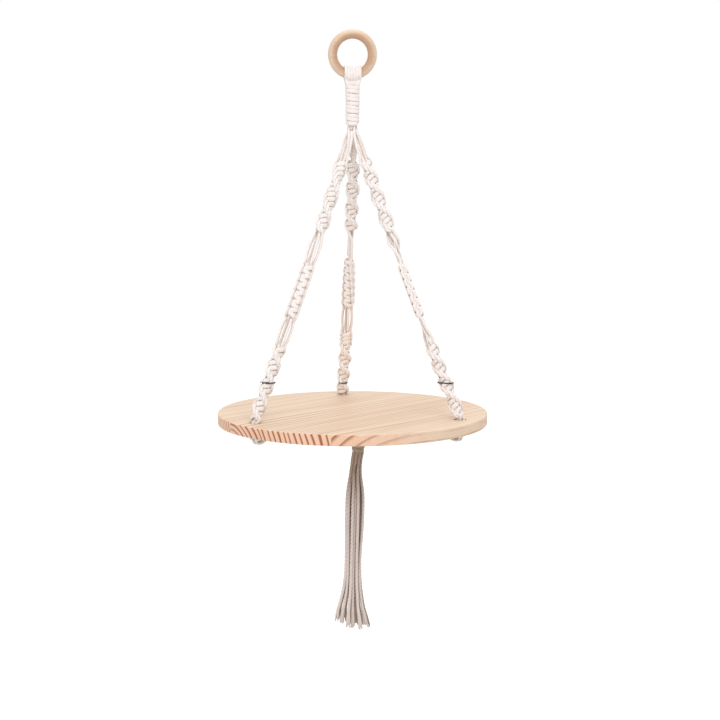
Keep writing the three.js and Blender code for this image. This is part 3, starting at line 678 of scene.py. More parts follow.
def row_stations(line, start, knots, pitch, twisted, start_side, first_side):
    """A knotting cord's stations in one row, on a line given by its place, lean and turn. At each half
    knot the cord comes in at one side, crosses as a flat bar on its face of the fillers and leaves at the
    other side. In a twisted row the cord on the left always takes the front, and in a flat row one cord
    always does."""
    place, lean, turn = line
    n = np.arange(knots)
    side = first_side * (-1.0) ** n
    face = -side if twisted else np.full(knots, -float(start_side))
    centre = start + pitch * (n + 0.5)
    u = np.stack([side * SIDE_PLACE, side * BAR_END, 0 * side, -side * BAR_END, -side * SIDE_PLACE], -1)
    v = np.stack([-face * SIDE_OUT, face * BAR_OUT, face * (BAR_OUT + BAR_CROWN), face * BAR_OUT,
                  -face * SIDE_OUT], -1)
    shift = np.array([SIDE_SLOPE, BAR_SLOPE, 0, -BAR_SLOPE, -SIDE_SLOPE]) * pitch
    distance = centre[:, None] + shift
    bar = np.array([False, True, True, True, False])
    turned = turn(distance)
    out = np.where(bar[None, :, None], lean(0 * u, v, turned), lean(u, 0 * v, turned))
    at = place(distance, u, v, turned).reshape(-1, 3)
    thick = np.tile(np.where(bar, BAR_THICKNESS, SIDE_THICKNESS), knots)
    wide = np.tile(np.where(bar, pitch * BAR_WIDTH_SHARE, SIDE_WIDTH), knots)
    return columns(at, unit(out.reshape(-1, 3)), thick, wide), first_side * (-1) ** knots


def beside_station(line, distance, side, face):
    """One station beside the fillers, where a cord comes into a row or leaves it."""
    place, lean, turn = line
    turned = turn(np.array([distance]))
    return columns(place(np.array([distance]), side * SIDE_PLACE, -face * SIDE_OUT, turned),
                   unit(lean(side, 0.0, turned)), SIDE_THICKNESS, BESIDE_WIDTH)


def start_stations(strap, side, knotting, diameter):
    """From its place in the bundle, a cord opens out to its place in a flat row of four. The two fillers
    turn a quarter round each other on the way."""
    flip = side * round(math.cos(strap.start_turn))
    places = pack_places(strap.azimuth, *START_PACK)
    xy = places[2 + flip] if knotting else (places[2] if flip > 0 else places[0])
    share = np.array([0.16, 0.33, 0.55, 0.87])
    turned = strap.start_turn + (strap.turn(0.0) - strap.start_turn) * np.minimum(share / 0.87, 1)
    angle = np.array([0.0, 0.25, 0.5, 0.5]) * math.pi
    pair = np.array([1.5, 1.6, 1.7, 1.7]) * MM
    u = side * (OUTER_PLACE * np.array([0.58, 0.9, 1, 1]) if knotting else pair * np.sin(angle))
    v = side * (np.zeros(4) if knotting else pair * np.cos(angle))
    at = strap.place(FIRST_FREE * share, u, v, turned)
    at = at + strap.outward * (np.array([1.0, 0.4, 0, 0]) * MM)[:, None]
    out = unit(strap.lean(u, v, turned))
    high = np.array([[*xy, APEX_Z + 7 * MM], [*xy, APEX_Z + 1 * MM], [*xy * 1.1, APEX_Z - 1.5 * MM]])
    return np.vstack([round_stations(high, np.tile(strap.across * side, (3, 1)), 2.5 * MM),
                      round_stations(at, out, diameter)])


def free_stations(strap, start, length, u, shares, diameter, v=0.0):
    """A round cord at shares of a stretch of the strap."""
    distance = start + length * np.asarray(shares)
    turned = strap.turn(distance)
    return round_stations(strap.place(distance, u, v, turned), strap.lean(u, v, turned), diameter)


def hole_stations(strap, u, v, diameter):
    """Down through the board, turning so that the stop knot lies across the run. The cord starts at v
    to the front or back, which fills the hole, and ends in line with its neighbours."""
    share = np.array([0.0, 0.5, 1.0])
    turned = strap.foot_turn + (strap.under_turn - strap.foot_turn) * share
    v = v * (1 - share)
    at = strap.under_place(HOLE_DEPTH * share, u, v, turned)
    return round_stations(at, strap.under_lean(u, v, turned), diameter)


def run_stations(strap, u, out_start, upper, end_radius):
    """From the stop knot a run rises to lie close under the board. At its own distance from the middle
    it turns down into the gathered bundle."""
    depth = RUN_DEPTH - (UPPER_RUN_RISE if upper else 0)
    bend = UPPER_RUN_BEND if upper else LOWER_RUN_BEND
    inward = -HOLE_RADIUS + end_radius
    half = 1 - math.sqrt(0.5)
    risen = depth - 0.85 * RUN_RISE
    down = np.array([depth - bend, depth - bend * half, depth, depth, depth - 0.6 * RUN_RISE,
                     depth - RUN_RISE, depth - 0.95 * RUN_RISE, risen, risen + bend * half, risen + bend,
                     GATHER_DEPTH - 4 * MM, GATHER_DEPTH + 3 * MM])
    out = np.array([out_start, out_start - bend * half, out_start - bend, -5.6 * MM, -0.12 * HOLE_RADIUS,
                    -0.3 * HOLE_RADIUS, -0.62 * HOLE_RADIUS, inward + bend, inward + bend * half, inward,
                    inward, inward])
    shifted = np.array([0, 0, 0, 0, 0, 0, 0.3, 0.8, 0.9, 1, 1, 1])
    at = strap.under_place(down, u, out, 0.0) + shifted[:, None] * [GATHER_SHIFT, 0, 0]
    return round_stations(at, np.tile(strap.across, (len(down), 1)), RUN_DIAMETER)


def knotting_cord(strap, start_side, diameter):
    """A cord that is tied round the fillers in each row and in the stop knot under the board."""
    side = start_side
    line = strap.place, strap.lean, strap.turn
    parts = [start_stations(strap, side, True, diameter)]
    rows = [(strap.upper_start, UPPER_KNOTS, SPIRAL_PITCH, True, 0),
            (strap.square_start, SQUARE_KNOTS, SQUARE_PITCH, False, SECOND_FREE),
            (strap.lower_start, LOWER_KNOTS, strap.lower_pitch, True, THIRD_FREE)]
    for start, knots, pitch, twisted, gap in rows:
        if gap:
            out = side * (OUTER_PLACE + OUTER_SWELL * np.sin(math.pi * SWELL_SHARES))
            parts.append(free_stations(strap, start - gap, gap, out, SWELL_SHARES, diameter))
        face = -side if twisted else -start_side
        parts.append(beside_station(line, start - 0.1 * pitch, side, face))
        knotted, side = row_stations(line, start, knots, pitch, twisted, start_side, side)
        parts.append(knotted)
        end = start + knots * pitch
        face = side if twisted else -start_side
        parts.append(beside_station(line, end + 0.1 * pitch, side, face))
    parts.append(hole_stations(strap, side * HOLE_KNOTTING_PLACE, 0.0, 2.8 * MM))
    line = strap.under_place, strap.under_lean, lambda depth: np.full(np.shape(depth), strap.under_turn)
    knotted, side = row_stations(line, STOP_START, 1, SQUARE_PITCH, False, start_side, side)
    parts.append(knotted)
    across = side * round(math.cos(strap.under_turn)) * RUN_KNOTTING_PLACE
    parts.append(run_stations(strap, across, 0.0, False, KNOTTING_GATHER))
    return np.vstack(parts)


def filler_row(strap, side, start, length, count):
    """A filler cord inside a row of knots, where its neighbours press it wide."""
    thick = np.r_[FILLER_ROW_END, np.full(count - 2, FILLER_SQUEEZED), FILLER_ROW_END]
    return free_stations(strap, start, length, side * FILLER_PLACE, np.linspace(0, 1, count), thick)


def filler_cord(strap, side, diameter):
    """A cord that hangs straight inside the knots beside its twin."""
    between = (side * INNER_PLACE, PAIR_SHARES, diameter, side * INNER_OUT)
    flip = side * round(math.cos(strap.under_turn))
    upper = side > 0
    out_start = FILLER_PLACE * (-1 if upper else 1)
    turn_place = strap.under_place(np.array([STOP_END - 2.4 * MM, STOP_END + 1.4 * MM]),
                                   np.array([flip * 1.35, flip * 1.1]) * MM,
                                   np.array([0.0, math.copysign(1.1, out_start)]) * MM, 0.0)
    return np.vstack([
        start_stations(strap, side, False, diameter),
        filler_row(strap, side, strap.upper_start, UPPER_KNOTS * SPIRAL_PITCH, 17),
        free_stations(strap, strap.upper_end, SECOND_FREE, *between),
        filler_row(strap, side, strap.square_start, SQUARE_KNOTS * SQUARE_PITCH, 13),
        free_stations(strap, strap.square_end, THIRD_FREE, *between),
        filler_row(strap, side, strap.lower_start, LOWER_KNOTS * strap.lower_pitch, 17),
        hole_stations(strap, side * HOLE_FILLER_PLACE, side * HOLE_FILLER_OUT, 3 * MM),
        round_stations(turn_place, np.tile(strap.across, (2, 1)), 2.5 * MM),
        run_stations(strap, 0.0, out_start, upper, UPPER_FILLER_GATHER if upper else LOWER_FILLER_GATHER),
    ])


def winding_stations(top, bottom, radius_at, width, shift=0.0):
    """A helix round a bundle. Two sines make the radius waver and one the pitch, and past its whole turns
    the cord dives into the bundle at each end."""
    turns = (top - bottom - width) / WINDING_PITCH
    last = FULL * turns
    angle = np.linspace(-WINDING_DIVE, last + WINDING_DIVE, int(turns * 48) + 8)
    dive = np.clip(np.maximum(-angle, angle - last), 0, None) / WINDING_DIVE
    waver = 0.12 * MM * np.sin(angle * 0.83) + 0.08 * MM * np.sin(angle * 2.31 + 1)
    even = top - width / 2 - WINDING_PITCH * np.clip(angle, 0, last) / FULL
    radius = radius_at(even) + waver - 3 * MM * dive**2
    uneven = 0.25 * MM * np.sin(angle * 0.61 + 0.4) * np.clip(angle, 0, 1) * np.clip(last - angle, 0, 1)
    z = even + uneven
    radial = np.stack([np.cos(angle), np.sin(angle), 0 * angle], -1)
    at = radial * radius[:, None] + np.stack([0 * z + shift, 0 * z, z], -1)
    return columns(at, radial, WINDING_THICKNESS, width)


def at_heights(places, z):
    """Rows of flat places, each row lifted to its own height."""
    return np.concatenate([places, np.broadcast_to(np.reshape(z, (-1, 1, 1)), places.shape[:2] + (1,))], -1)


def board_wedge(azimuth, radius, hole, z, shares):
    """A third of a flat face: rows of points that go from the rim of the hole to the wedge's outline.
    A point is its rim point plus a share of the way to its outline point."""
    arc = azimuth + np.linspace(-FULL / 6, FULL / 6, BOARD_ARC_STEPS + 1)
    outline = np.stack([radius * np.cos(arc), radius * np.sin(arc)], -1)
    edge = np.linspace(1, 0, BOARD_EDGE_STEPS + 1)[1:, None]
    outline = np.vstack([outline, outline[-1] * edge, outline[0] * edge[-2::-1]])
    centre = np.array([HOLE_RADIUS * math.cos(azimuth), HOLE_RADIUS * math.sin(azimuth)])
    away = unit(outline - centre)
    rim = centre + away * hole
    rows = rim[None] + (outline - rim)[None] * np.asarray(shares)[:, None, None]
    return at_heights(rows, z), rim, centre


def board_part(rows, whole=True):
    """A mesh between rows of points. A whole row closes on itself, and the others leave out the face
    from their last point to their first."""
    quads, _ = skin(rows, np.arange(len(rows), dtype=float))
    if not whole:
        quads = quads.reshape(len(rows) - 1, -1, 4)[:, :-1].reshape(-1, 4)
    return mesh_piece("board_part", rows.reshape(-1, 3), [quads])


def torus_rings(radius, section, centre_z, around, sides):
    """A ring in the XZ plane: a circle of section carried round a circle of radius."""
    a = FULL * np.arange(around)[:, None] / around
    b = FULL * np.arange(sides)[None, :] / sides
    reach = radius + section * np.cos(b)
    return np.stack([reach * np.cos(a), section * np.sin(b) + 0 * a, reach * np.sin(a) + centre_z], -1)


def fix_normals(obj, distance):
    """Merges doubles and turns all faces outwards."""
    cleaned = bmesh.new()
    cleaned.from_mesh(obj.data)
    bmesh.ops.remove_doubles(cleaned, verts=cleaned.verts, dist=distance)
    bmesh.ops.recalc_face_normals(cleaned, faces=cleaned.faces)
    cleaned.to_mesh(obj.data)
    cleaned.free()


class RopeShelfSizes(bpy.types.PropertyGroup):
    """Sizes that a user would change"""

    ring_diameter: bpy.props.FloatProperty(
        name="Ring Diameter", description="Across the outside of the wooden ring",
        default=0.053, unit="LENGTH")
    ring_thickness: bpy.props.FloatProperty(
        name="Ring Thickness", description="Across the ring's own section",
        default=0.01, unit="LENGTH")
    board_diameter: bpy.props.FloatProperty(
        name="Board Diameter", description="Across the round board",
        default=float(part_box("shelf_board")[1][0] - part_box("shelf_board")[0][0]), unit="LENGTH")
    board_bevel: bpy.props.FloatProperty(
        name="Board Edge", description="How far the board's edges are rounded",
        default=0.001, unit="LENGTH")
    hole_diameter: bpy.props.FloatProperty(
        name="Hole Diameter", description="Across each of the board's three holes",
        default=0.013, unit="LENGTH")
    cord_diameter: bpy.props.FloatProperty(
        name="Cord Diameter", description="Across a free stretch of cotton cord",
        default=0.0032, unit="LENGTH")
    loop_pitch: bpy.props.FloatProperty(
        name="Loop Pitch", description="From one cord over the ring to the next",
        default=0.003, unit="LENGTH")
    strand_diameter: bpy.props.FloatProperty(
        name="Strand Diameter", description="Across one strand of the tassel",
        default=0.0035, unit="LENGTH")


class RopeShelfColours(bpy.types.PropertyGroup):
    """Colours that a user would change"""

    cotton: bpy.props.FloatVectorProperty(
        name="Cotton", description="Bleached cotton cord",
        subtype="COLOR", default=(0.87, 0.81, 0.78))
    # Painted shade: the colour that cotton is mixed towards in the grooves between its plies and where it
    # lies against other cords
    cotton_shade: bpy.props.FloatVectorProperty(
        name="Cotton Shade", description="Grooves of the cotton cord",
        subtype="COLOR", default=(0.64, 0.51, 0.44))
    # Painted light: paler than the front straps' cotton, to make up for the shadow that the front straps cast
    # on the back one
    back_cotton_painted_light: bpy.props.FloatVectorProperty(
        name="Back Cotton Painted Light", description="Cotton of the back strap",
        subtype="COLOR", default=(0.93, 0.87, 0.84))
    # Painted shade: warmer and browner than the front straps' shade colour, for the warm shade in the back
    # strap's grooves
    back_painted_shade: bpy.props.FloatVectorProperty(
        name="Back Painted Shade", description="Grooves of the back strap",
        subtype="COLOR", default=(0.62, 0.43, 0.30))
    winding: bpy.props.FloatVectorProperty(
        name="Winding", description="Cotton of the loops and the top winding",
        subtype="COLOR", default=(0.87, 0.79, 0.76))
    # Painted shade: the same cotton as the straps, made darker for the shade under the board
    tassel: bpy.props.FloatVectorProperty(
        name="Tassel", description="Cotton of the tassel",
        subtype="COLOR", default=(0.74, 0.64, 0.59))
    # Painted shade and shadow: the colour that the tassel's cotton is mixed towards in its grooves, between
    # strands and in the board's shadow
    tassel_shade: bpy.props.FloatVectorProperty(
        name="Tassel Shade", description="Grooves of the tassel's cords",
        subtype="COLOR", default=(0.35, 0.25, 0.185))
    pine: bpy.props.FloatVectorProperty(
        name="Pine", description="Early wood on the board's face",
        subtype="COLOR", default=(0.76, 0.58, 0.43))
    pine_line: bpy.props.FloatVectorProperty(
        name="Pine Line", description="Late wood on the board's face",
        subtype="COLOR", default=(0.58, 0.36, 0.21))
    pine_end: bpy.props.FloatVectorProperty(
        name="Pine End", description="Early wood on end grain",
        subtype="COLOR", default=(0.83, 0.53, 0.37))
    pine_end_line: bpy.props.FloatVectorProperty(
        name="Pine End Line", description="Late wood on end grain",
        subtype="COLOR", default=(0.34, 0.11, 0.04))
    ring: bpy.props.FloatVectorProperty(
        name="Ring", description="Turned wood of the ring",
        subtype="COLOR", default=(0.71, 0.53, 0.39))
    # The colour of the ring's darker grain, and of the painted shade on its inner side
    ring_grain_and_shade: bpy.props.FloatVectorProperty(
        name="Ring Shade", description="Darker grain of the ring",
        subtype="COLOR", default=(0.50, 0.31, 0.19))
    thread: bpy.props.FloatVectorProperty(
        name="Thread", description="Dark thread round each strap",
        subtype="COLOR", default=(0.03, 0.026, 0.024))


# The floor lies this far below the hook and reaches this far each way
FLOOR_Z = -1.0
FLOOR_REACH = 12.0

# Lamps: name, place, size and power. They all point at one place on the shelf's middle line.
LAMPS = (
    ("key", (0.25, -1.6, 1.2), 1.5, 20.0),
    ("fill", (-1.7, -1.3, 0.1), 1.8, 6.5),
    ("top", (0.1, 0.5, 1.5), 1.2, 9.0),
)
LAMP_AIM = (0, 0, -0.33)

# The world's light on the object, where 1 is white
WORLD_STRENGTH = 0.7

# The camera: its distance from the middle of the board's top and the way to it, its lens in
# millimetres, and the shift of its picture as a share of the picture's width
CAMERA_DISTANCE = 1.789
CAMERA_AZIMUTH = math.radians(-5.45)
CAMERA_ELEVATION = math.radians(9.4)
CAMERA_LENS = 80.1
CAMERA_SHIFT = ((360 - 352.5) / 720, (411.2 - 360) / 720)


class MakeStage(bpy.types.Operator):
    """Makes the pale floor, the studio light and the camera"""
    bl_idname = "rope_shelf.make_stage"
    bl_label = "Stage"

    def execute(self, context):
        self.make_floor()
        self.make_world(context)
        for lamp in LAMPS:
            self.make_lamp(context, *lamp)
        self.make_camera(context)
        return {"FINISHED"}

    def make_floor(self):
        """A square floor that the camera sees as white, apart from the object's shadow."""
        corners = np.array([[-1, -1], [1, -1], [1, 1], [-1, 1]]) * FLOOR_REACH
        floor = mesh_piece("floor", np.column_stack([corners, np.full(4, FLOOR_Z)]),
                           [np.array([[0, 1, 2, 3]])], smooth=False)
        f = Finish("Floor", 0.9)
        f.colour((0.85, 0.85, 0.85, 1))
        f.link(1.0, f.shader.inputs["Emission Strength"])
        f.link(f.tint((1, 1, 1), f.seen() * 0.45), f.shader.inputs["Emission Color"])
        floor.data.materials.append(f.material)

    def make_world(self, context):
        """A white world where the camera looks, with a softer light on the object."""
        world = bpy.data.worlds.new("Studio")
        context.scene.world = world
        world.use_nodes = True
        nodes = Nodes(world.node_tree)
        nodes.tree.nodes.clear()
        strength = nodes.node("ShaderNodeMix", {}, {0: nodes.seen(), 2: WORLD_STRENGTH, 3: 1.0})
        background = nodes.node("ShaderNodeBackground", {}, {"Color": (1, 1, 1, 1), "Strength": strength})
        output = nodes.tree.nodes.new("ShaderNodeOutputWorld")
        nodes.link(background, output.inputs["Surface"])
        context.scene.view_settings.view_transform = "Standard"

    def make_lamp(self, context, name, place, size, power):
        """A round soft lamp."""
        lamp = bpy.data.lights.new(name, "AREA")
        lamp.shape, lamp.size, lamp.energy = "DISK", size, power
        obj = bpy.data.objects.new(name, lamp)
        context.collection.objects.link(obj)
        obj.location = place
        aim = Vector(LAMP_AIM) - obj.location
        obj.rotation_euler = aim.to_track_quat("-Z", "Y").to_euler()

    def make_camera(self, context):
        """The camera looks at the middle of the board's top, and its picture is shifted from there."""
        camera = bpy.data.cameras.new("camera")
        obj = bpy.data.objects.new("camera", camera)
        context.collection.objects.link(obj)
        level = math.cos(CAMERA_ELEVATION)
        back = Vector((math.sin(CAMERA_AZIMUTH) * level, -math.cos(CAMERA_AZIMUTH) * level,
                       math.sin(CAMERA_ELEVATION)))
        obj.location = Vector((0, 0, BOARD_TOP_Z)) + back * CAMERA_DISTANCE
        obj.rotation_euler = (-back).to_track_quat("-Z", "Y").to_euler()
        camera.sensor_width = 36
        camera.lens = CAMERA_LENS
        camera.shift_x, camera.shift_y = CAMERA_SHIFT
        camera.clip_end = 100
        context.scene.camera = obj


# The tassel at shares of its length: half its width, half the depth between its rows and how far it
# hangs to the right, then the places of its strands as shares of the half width
TASSEL_SHARES = np.array([0, 0.06, 0.2, 0.35, 0.6, 0.72, 0.8, 0.87, 0.93, 1.0])
TASSEL_WIDE = np.array([5.2, 6.8, 9.0, 9.4, 8.3, 8.7, 10.6, 13.2, 16.2, 18.4]) * MM
TASSEL_DEEP = np.array([4.6, 4.8, 5.4, 5.6, 5.4, 5.6, 6.4, 7.6, 9.0, 10]) * MM
TASSEL_SWAY = np.array([4.6, 3.6, 2.7, 2.0, 0.8, 0.3, 0, -0.5, -0.6, -0.2]) * MM
FRONT_HIGH_SHARES = (-0.97, -0.72, -0.26, 0.06, 0.37, 1.0)
FRONT_LOW_SHARES = (-1.0, -0.66, -0.28, 0.08, 0.45, 0.81)
BACK_HIGH_SHARES = (-0.82, -0.5, -0.1, 0.25, 0.6, 0.85)
BACK_LOW_SHARES = (-0.82, -0.46, -0.1, 0.26, 0.63, 1.0)
BRUSHED_LENGTH = 24 * MM


class MakeTassel(bpy.types.Operator):
    """Makes the tassel's twelve strands and its neck"""
    bl_idname = "rope_shelf.make_tassel"
    bl_label = "Tassel"

    def execute(self, context):
        """The strands are ranked from left to right, and every other one hangs in the front row."""
        sizes = context.scene.rope_shelf_sizes
        top = NECK_BOTTOM_Z - 0.3 * MM
        rng = np.random.default_rng(7)
        places = np.vstack([pack_places(azimuth, *NECK_PACK) for azimuth in AZIMUTHS.values()])
        ranks = np.argsort(np.argsort(places[:, 0]))
        for number, (xy, rank) in enumerate(zip(places, ranks), 1):
            line, length = self.strand_line(xy, rank, top, rng)
            thick = np.interp(TASSEL_SHARES, [0, 0.1, 1], [0.85, 1, 1]) * sizes.strand_diameter
            # Front strands face the front and back strands the back, so the cotton's painted shade between
            # cords falls on each strand's sides
            facing = np.tile([0, -1 if rank % 2 == 0 else 1, 0], (len(line), 1))
            stations = columns(line, facing, thick, thick)
            close = smooth_line(stations, 0.7 * MM)
            whole = int(len(close) * (1 - BRUSHED_LENGTH / length))
            name = f"strand_{number}"
            parts = [cord_mesh(name, close[:whole + 6], step=0.7 * MM, plies=2, lay=9 * MM, dip=0.16)]
            parts += self.brushed_end(close[whole:], rng)
            piece = join_pieces(name, parts)
            dress(piece, "Shaded Tassel Cotton", "tassel", [f"tassel_strand_{number}"])
        self.make_neck()
        return {"FINISHED"}

    def strand_line(self, xy, rank, top, rng):
        """A strand's places at the shares of its length. From its place in the neck it opens out to a place
        in a front row or a back row of six. The rows are the two halves of an ellipse that spreads."""
        wander = rng.normal(0, 0.45, 2) * MM
        length = TASSEL_LENGTH * (1 + rng.uniform(-0.012, 0.01) - (0.028 if rank < 4 else 0))
        front = rank % 2 == 0
        high, low = (FRONT_HIGH_SHARES, FRONT_LOW_SHARES) if front else (BACK_HIGH_SHARES, BACK_LOW_SHARES)
        lowered = np.clip((TASSEL_SHARES - 0.35) / 0.4, 0, 1)
        across = high[rank // 2] * (1 - lowered) + low[rank // 2] * lowered
        deep = (-1 if front else 1) * np.sqrt(1 - 0.9 * across**2) * (1, 0.55)[rank // 2 % 2]
        open_xy = np.column_stack([across * TASSEL_WIDE, deep * TASSEL_DEEP])
        opened = np.clip(TASSEL_SHARES / 0.2, 0, 1)[:, None]
        bend = np.clip(TASSEL_SHARES - 0.1, 0, 1)[:, None]
        at_xy = xy * (1 - opened) + open_xy * opened + wander * bend
        return np.column_stack([at_xy[:, 0] + TASSEL_SWAY, at_xy[:, 1], top - length * TASSEL_SHARES]), length

    def brushed_end(self, close, rng):
        """Six thin yarns that leave the end of a strand and spread: each is shifted by its own offset
        times the share of the way down, raised to a power."""
        share = np.linspace(0, 1, len(close))[:, None]
        yarns = []
        for turn in FULL * np.arange(6) / 6 + rng.uniform(0, FULL):
            away = np.array([math.cos(turn), 0.7 * math.sin(turn), 0]) * rng.uniform(1.5, 2.8) * MM
            start = np.array([math.cos(turn), math.sin(turn), 0]) * 0.75 * MM
            at = close[:, :3] + start * (1 - share) + away * share**1.3
            cut = len(at) - int(rng.integers(0, 6))
            width = np.interp(share[:cut, 0], [0, 0.5, 1], [2.1, 1.9, 1.5]) * MM
            stations = columns(at[:cut], close[:cut, 3:6], width, width)
            yarns.append(cord_mesh("yarn", stations, step=0.9 * MM, sides=10, plies=2, lay=7 * MM, dip=0.2))
        return yarns

    def make_neck(self):
        """Twelve short cords side by side from the winding to the strands, as two meshes that meet at the
        neck's middle."""
        self.neck_piece("neck_top", GATHER_BOTTOM_Z + 4 * MM, NECK_MIDDLE_Z - 1 * MM, 3.1 * MM, [],
                        ("shelf", "tassel_neck", (0, 0, GATHER_BOTTOM_Z), (0, 0, NECK_MIDDLE_Z + 0.6 * MM)))
        self.neck_piece("neck", NECK_MIDDLE_Z + 1.6 * MM, NECK_BOTTOM_Z - 2 * MM, 3.25 * MM, ["tassel_neck"],
                        ("tassel_neck", "tassel", (0, 0, NECK_MIDDLE_Z - 0.6 * MM), (0, 0, NECK_BOTTOM_Z)))

    def neck_piece(self, name, top_z, bottom_z, thickness, nodes, blend):
        """The stretch of the neck's cords between two heights. The neck leans from the winding's shift to
        the sway of the strands."""
        parts = []
        for azimuth in AZIMUTHS.values():
            for xy in pack_places(azimuth, *NECK_PACK):
                z = np.linspace(top_z, bottom_z, 7)
                lean = np.interp(z, [NECK_BOTTOM_Z, GATHER_BOTTOM_Z], [TASSEL_SWAY[0], GATHER_SHIFT])
                at = np.column_stack([xy[0] + lean, np.full(7, xy[1]), z])
                thick = np.full(7, thickness)
                stations = columns(at, np.tile(unit(np.array([*xy, 0])), (7, 1)), thick, thick)
                parts.append(cord_mesh("neck_part", stations, step=0.7 * MM, lay=8 * MM))
        dress(join_pieces(name, parts), "Shaded Tassel Cotton", None, nodes, blend)


def join_pieces(name, parts):
    """Joins meshes into one object."""
    bpy.ops.object.select_all(action="DESELECT")
    for part in parts:
        part.select_set(True)
    bpy.context.view_layer.objects.active = parts[0]
    bpy.ops.object.join()
    parts[0].name = parts[0].data.name = name
    return parts[0]


class MakeRing(bpy.types.Operator):
    """Makes the turned wooden ring"""
    bl_idname = "rope_shelf.make_ring"
    bl_label = "Ring"

    def execute(self, context):
        sizes = context.scene.rope_shelf_sizes
        section = sizes.ring_thickness / 2
        rings = torus_rings(sizes.ring_diameter / 2 - section, section, RING_CENTRE_Z, 144, 36)
        quads, _ = skin(rings, np.arange(len(rings), dtype=float), closed=True)
        ring = mesh_piece("ring", rings.reshape(-1, 3), [quads])
        fix_normals(ring, 1e-6)
        dress(ring, "Turned Wood", "ring", ["hanging_ring"])
        return {"FINISHED"}


class MakeBoard(bpy.types.Operator):
    """Makes the round pine board with its three holes"""
    bl_idname = "rope_shelf.make_board"
    bl_label = "Board"

    def execute(self, context):
        """Three wedges, each with its two flat faces, the wall of its hole and its part of the rim. Walls
        and rim are straight lines carried round circles, with a quarter circle at each edge."""
        sizes = context.scene.rope_shelf_sizes
        outer, bevel, hole = sizes.board_diameter / 2, sizes.board_bevel, sizes.hole_diameter / 2
        top, bottom = BOARD_TOP_Z, BOARD_BOTTOM_Z
        quarter = np.linspace(0, math.pi / 2, 5)
        swell = bevel * np.concatenate([np.sin(quarter), np.cos(quarter)])[:, None, None]
        z = np.concatenate([top - bevel + bevel * np.cos(quarter), bottom + bevel - bevel * np.sin(quarter)])
        parts = []
        for azimuth in AZIMUTHS.values():
            for level in (top, bottom):
                rows, rim, centre = board_wedge(azimuth, outer - bevel, hole + bevel, level, BOARD_SHARES)
                parts.append(board_part(rows))
            wall = centre + unit(rim - centre) * (hole + bevel - swell)
            parts.append(board_part(at_heights(wall, z)))
            arc = azimuth + np.linspace(-FULL / 6, FULL / 6, BOARD_ARC_STEPS + 1)
            side = np.stack([np.cos(arc), np.sin(arc)], -1) * (outer - bevel + swell)
            parts.append(board_part(at_heights(side, z), whole=False))
        board = join_pieces("board", parts)
        fix_normals(board, 1e-5)
        board.data.set_sharp_from_angle(angle=math.radians(40))
        dress(board, "Pine", "shelf", ["shelf_board"])
        return {"FINISHED"}


# A loop's line stands this far off the ring, and more over the middle of the six. The two heights are handed
# to dress with the loops' two bodies, and nothing bends the loops between them.
LOOP_GAP = 1.75 * MM
LOOP_CROWN = 0.6 * MM
LOOP_BEND_TOP_Z = -41.5 * MM
LOOP_BEND_BOTTOM_Z = -48.5 * MM


class MakeLoops(bpy.types.Operator):
    """Makes the six cords folded over the ring"""
    bl_idname = "rope_shelf.make_loops"
    bl_label = "Loops"

    def execute(self, context):
        """A loop is part of an ellipse round the ring's section, with a straight leg at each end."""
        sizes = context.scene.rope_shelf_sizes
        section = sizes.ring_thickness / 2
        radius = sizes.ring_diameter / 2 - section
        width = section + LOOP_GAP
        for i in range(6):
            x = (i - 2.5) * sizes.loop_pitch
            inner, outer = (math.sqrt((radius + s * section) ** 2 - x * x) for s in (-1, 1))
            height = (outer - inner) / 2 + LOOP_GAP + LOOP_CROWN * (1 - (i / 2.5 - 1)**2)
            angle = np.linspace(-0.16, 0.66, 15) * FULL
            out = np.stack([0 * angle, -np.cos(angle), np.sin(angle)], -1)
            over = out * [0, width, height] + [x, 0, RING_CENTRE_Z - (inner + outer) / 2]
            leg = np.array([[x * 0.8, -3.8 * MM, BUNDLE_TOP_Z], [x * 0.66, -3.4 * MM, -52 * MM],
                            [x * 0.66, -3.2 * MM, -58 * MM]])
            at = np.vstack([leg[::-1], over, leg * [1, -1, 1]])
            outs = np.vstack([np.tile([0, -1, 0], (3, 1)), out, np.tile([0, 1, 0], (3, 1))])
            thick = np.concatenate([[2.6, 2.6, 2.8], np.full(15, 3.1), [2.8, 2.6, 2.6]]) * MM
            wide = np.concatenate([[2.6, 2.6, 3.0], np.full(15, 3.4), [3.0, 2.6, 2.6]]) * MM
            piece = cord_mesh(f"loop_{i + 1}", columns(at, outs, thick, wide), step=0.8 * MM)
            dress(piece, "Winding Cotton", None, [f"cord_loop_{i + 1}"],
                  ("loops", "wrap", (0, 0, LOOP_BEND_TOP_Z), (0, 0, LOOP_BEND_BOTTOM_Z)))
        return {"FINISHED"}


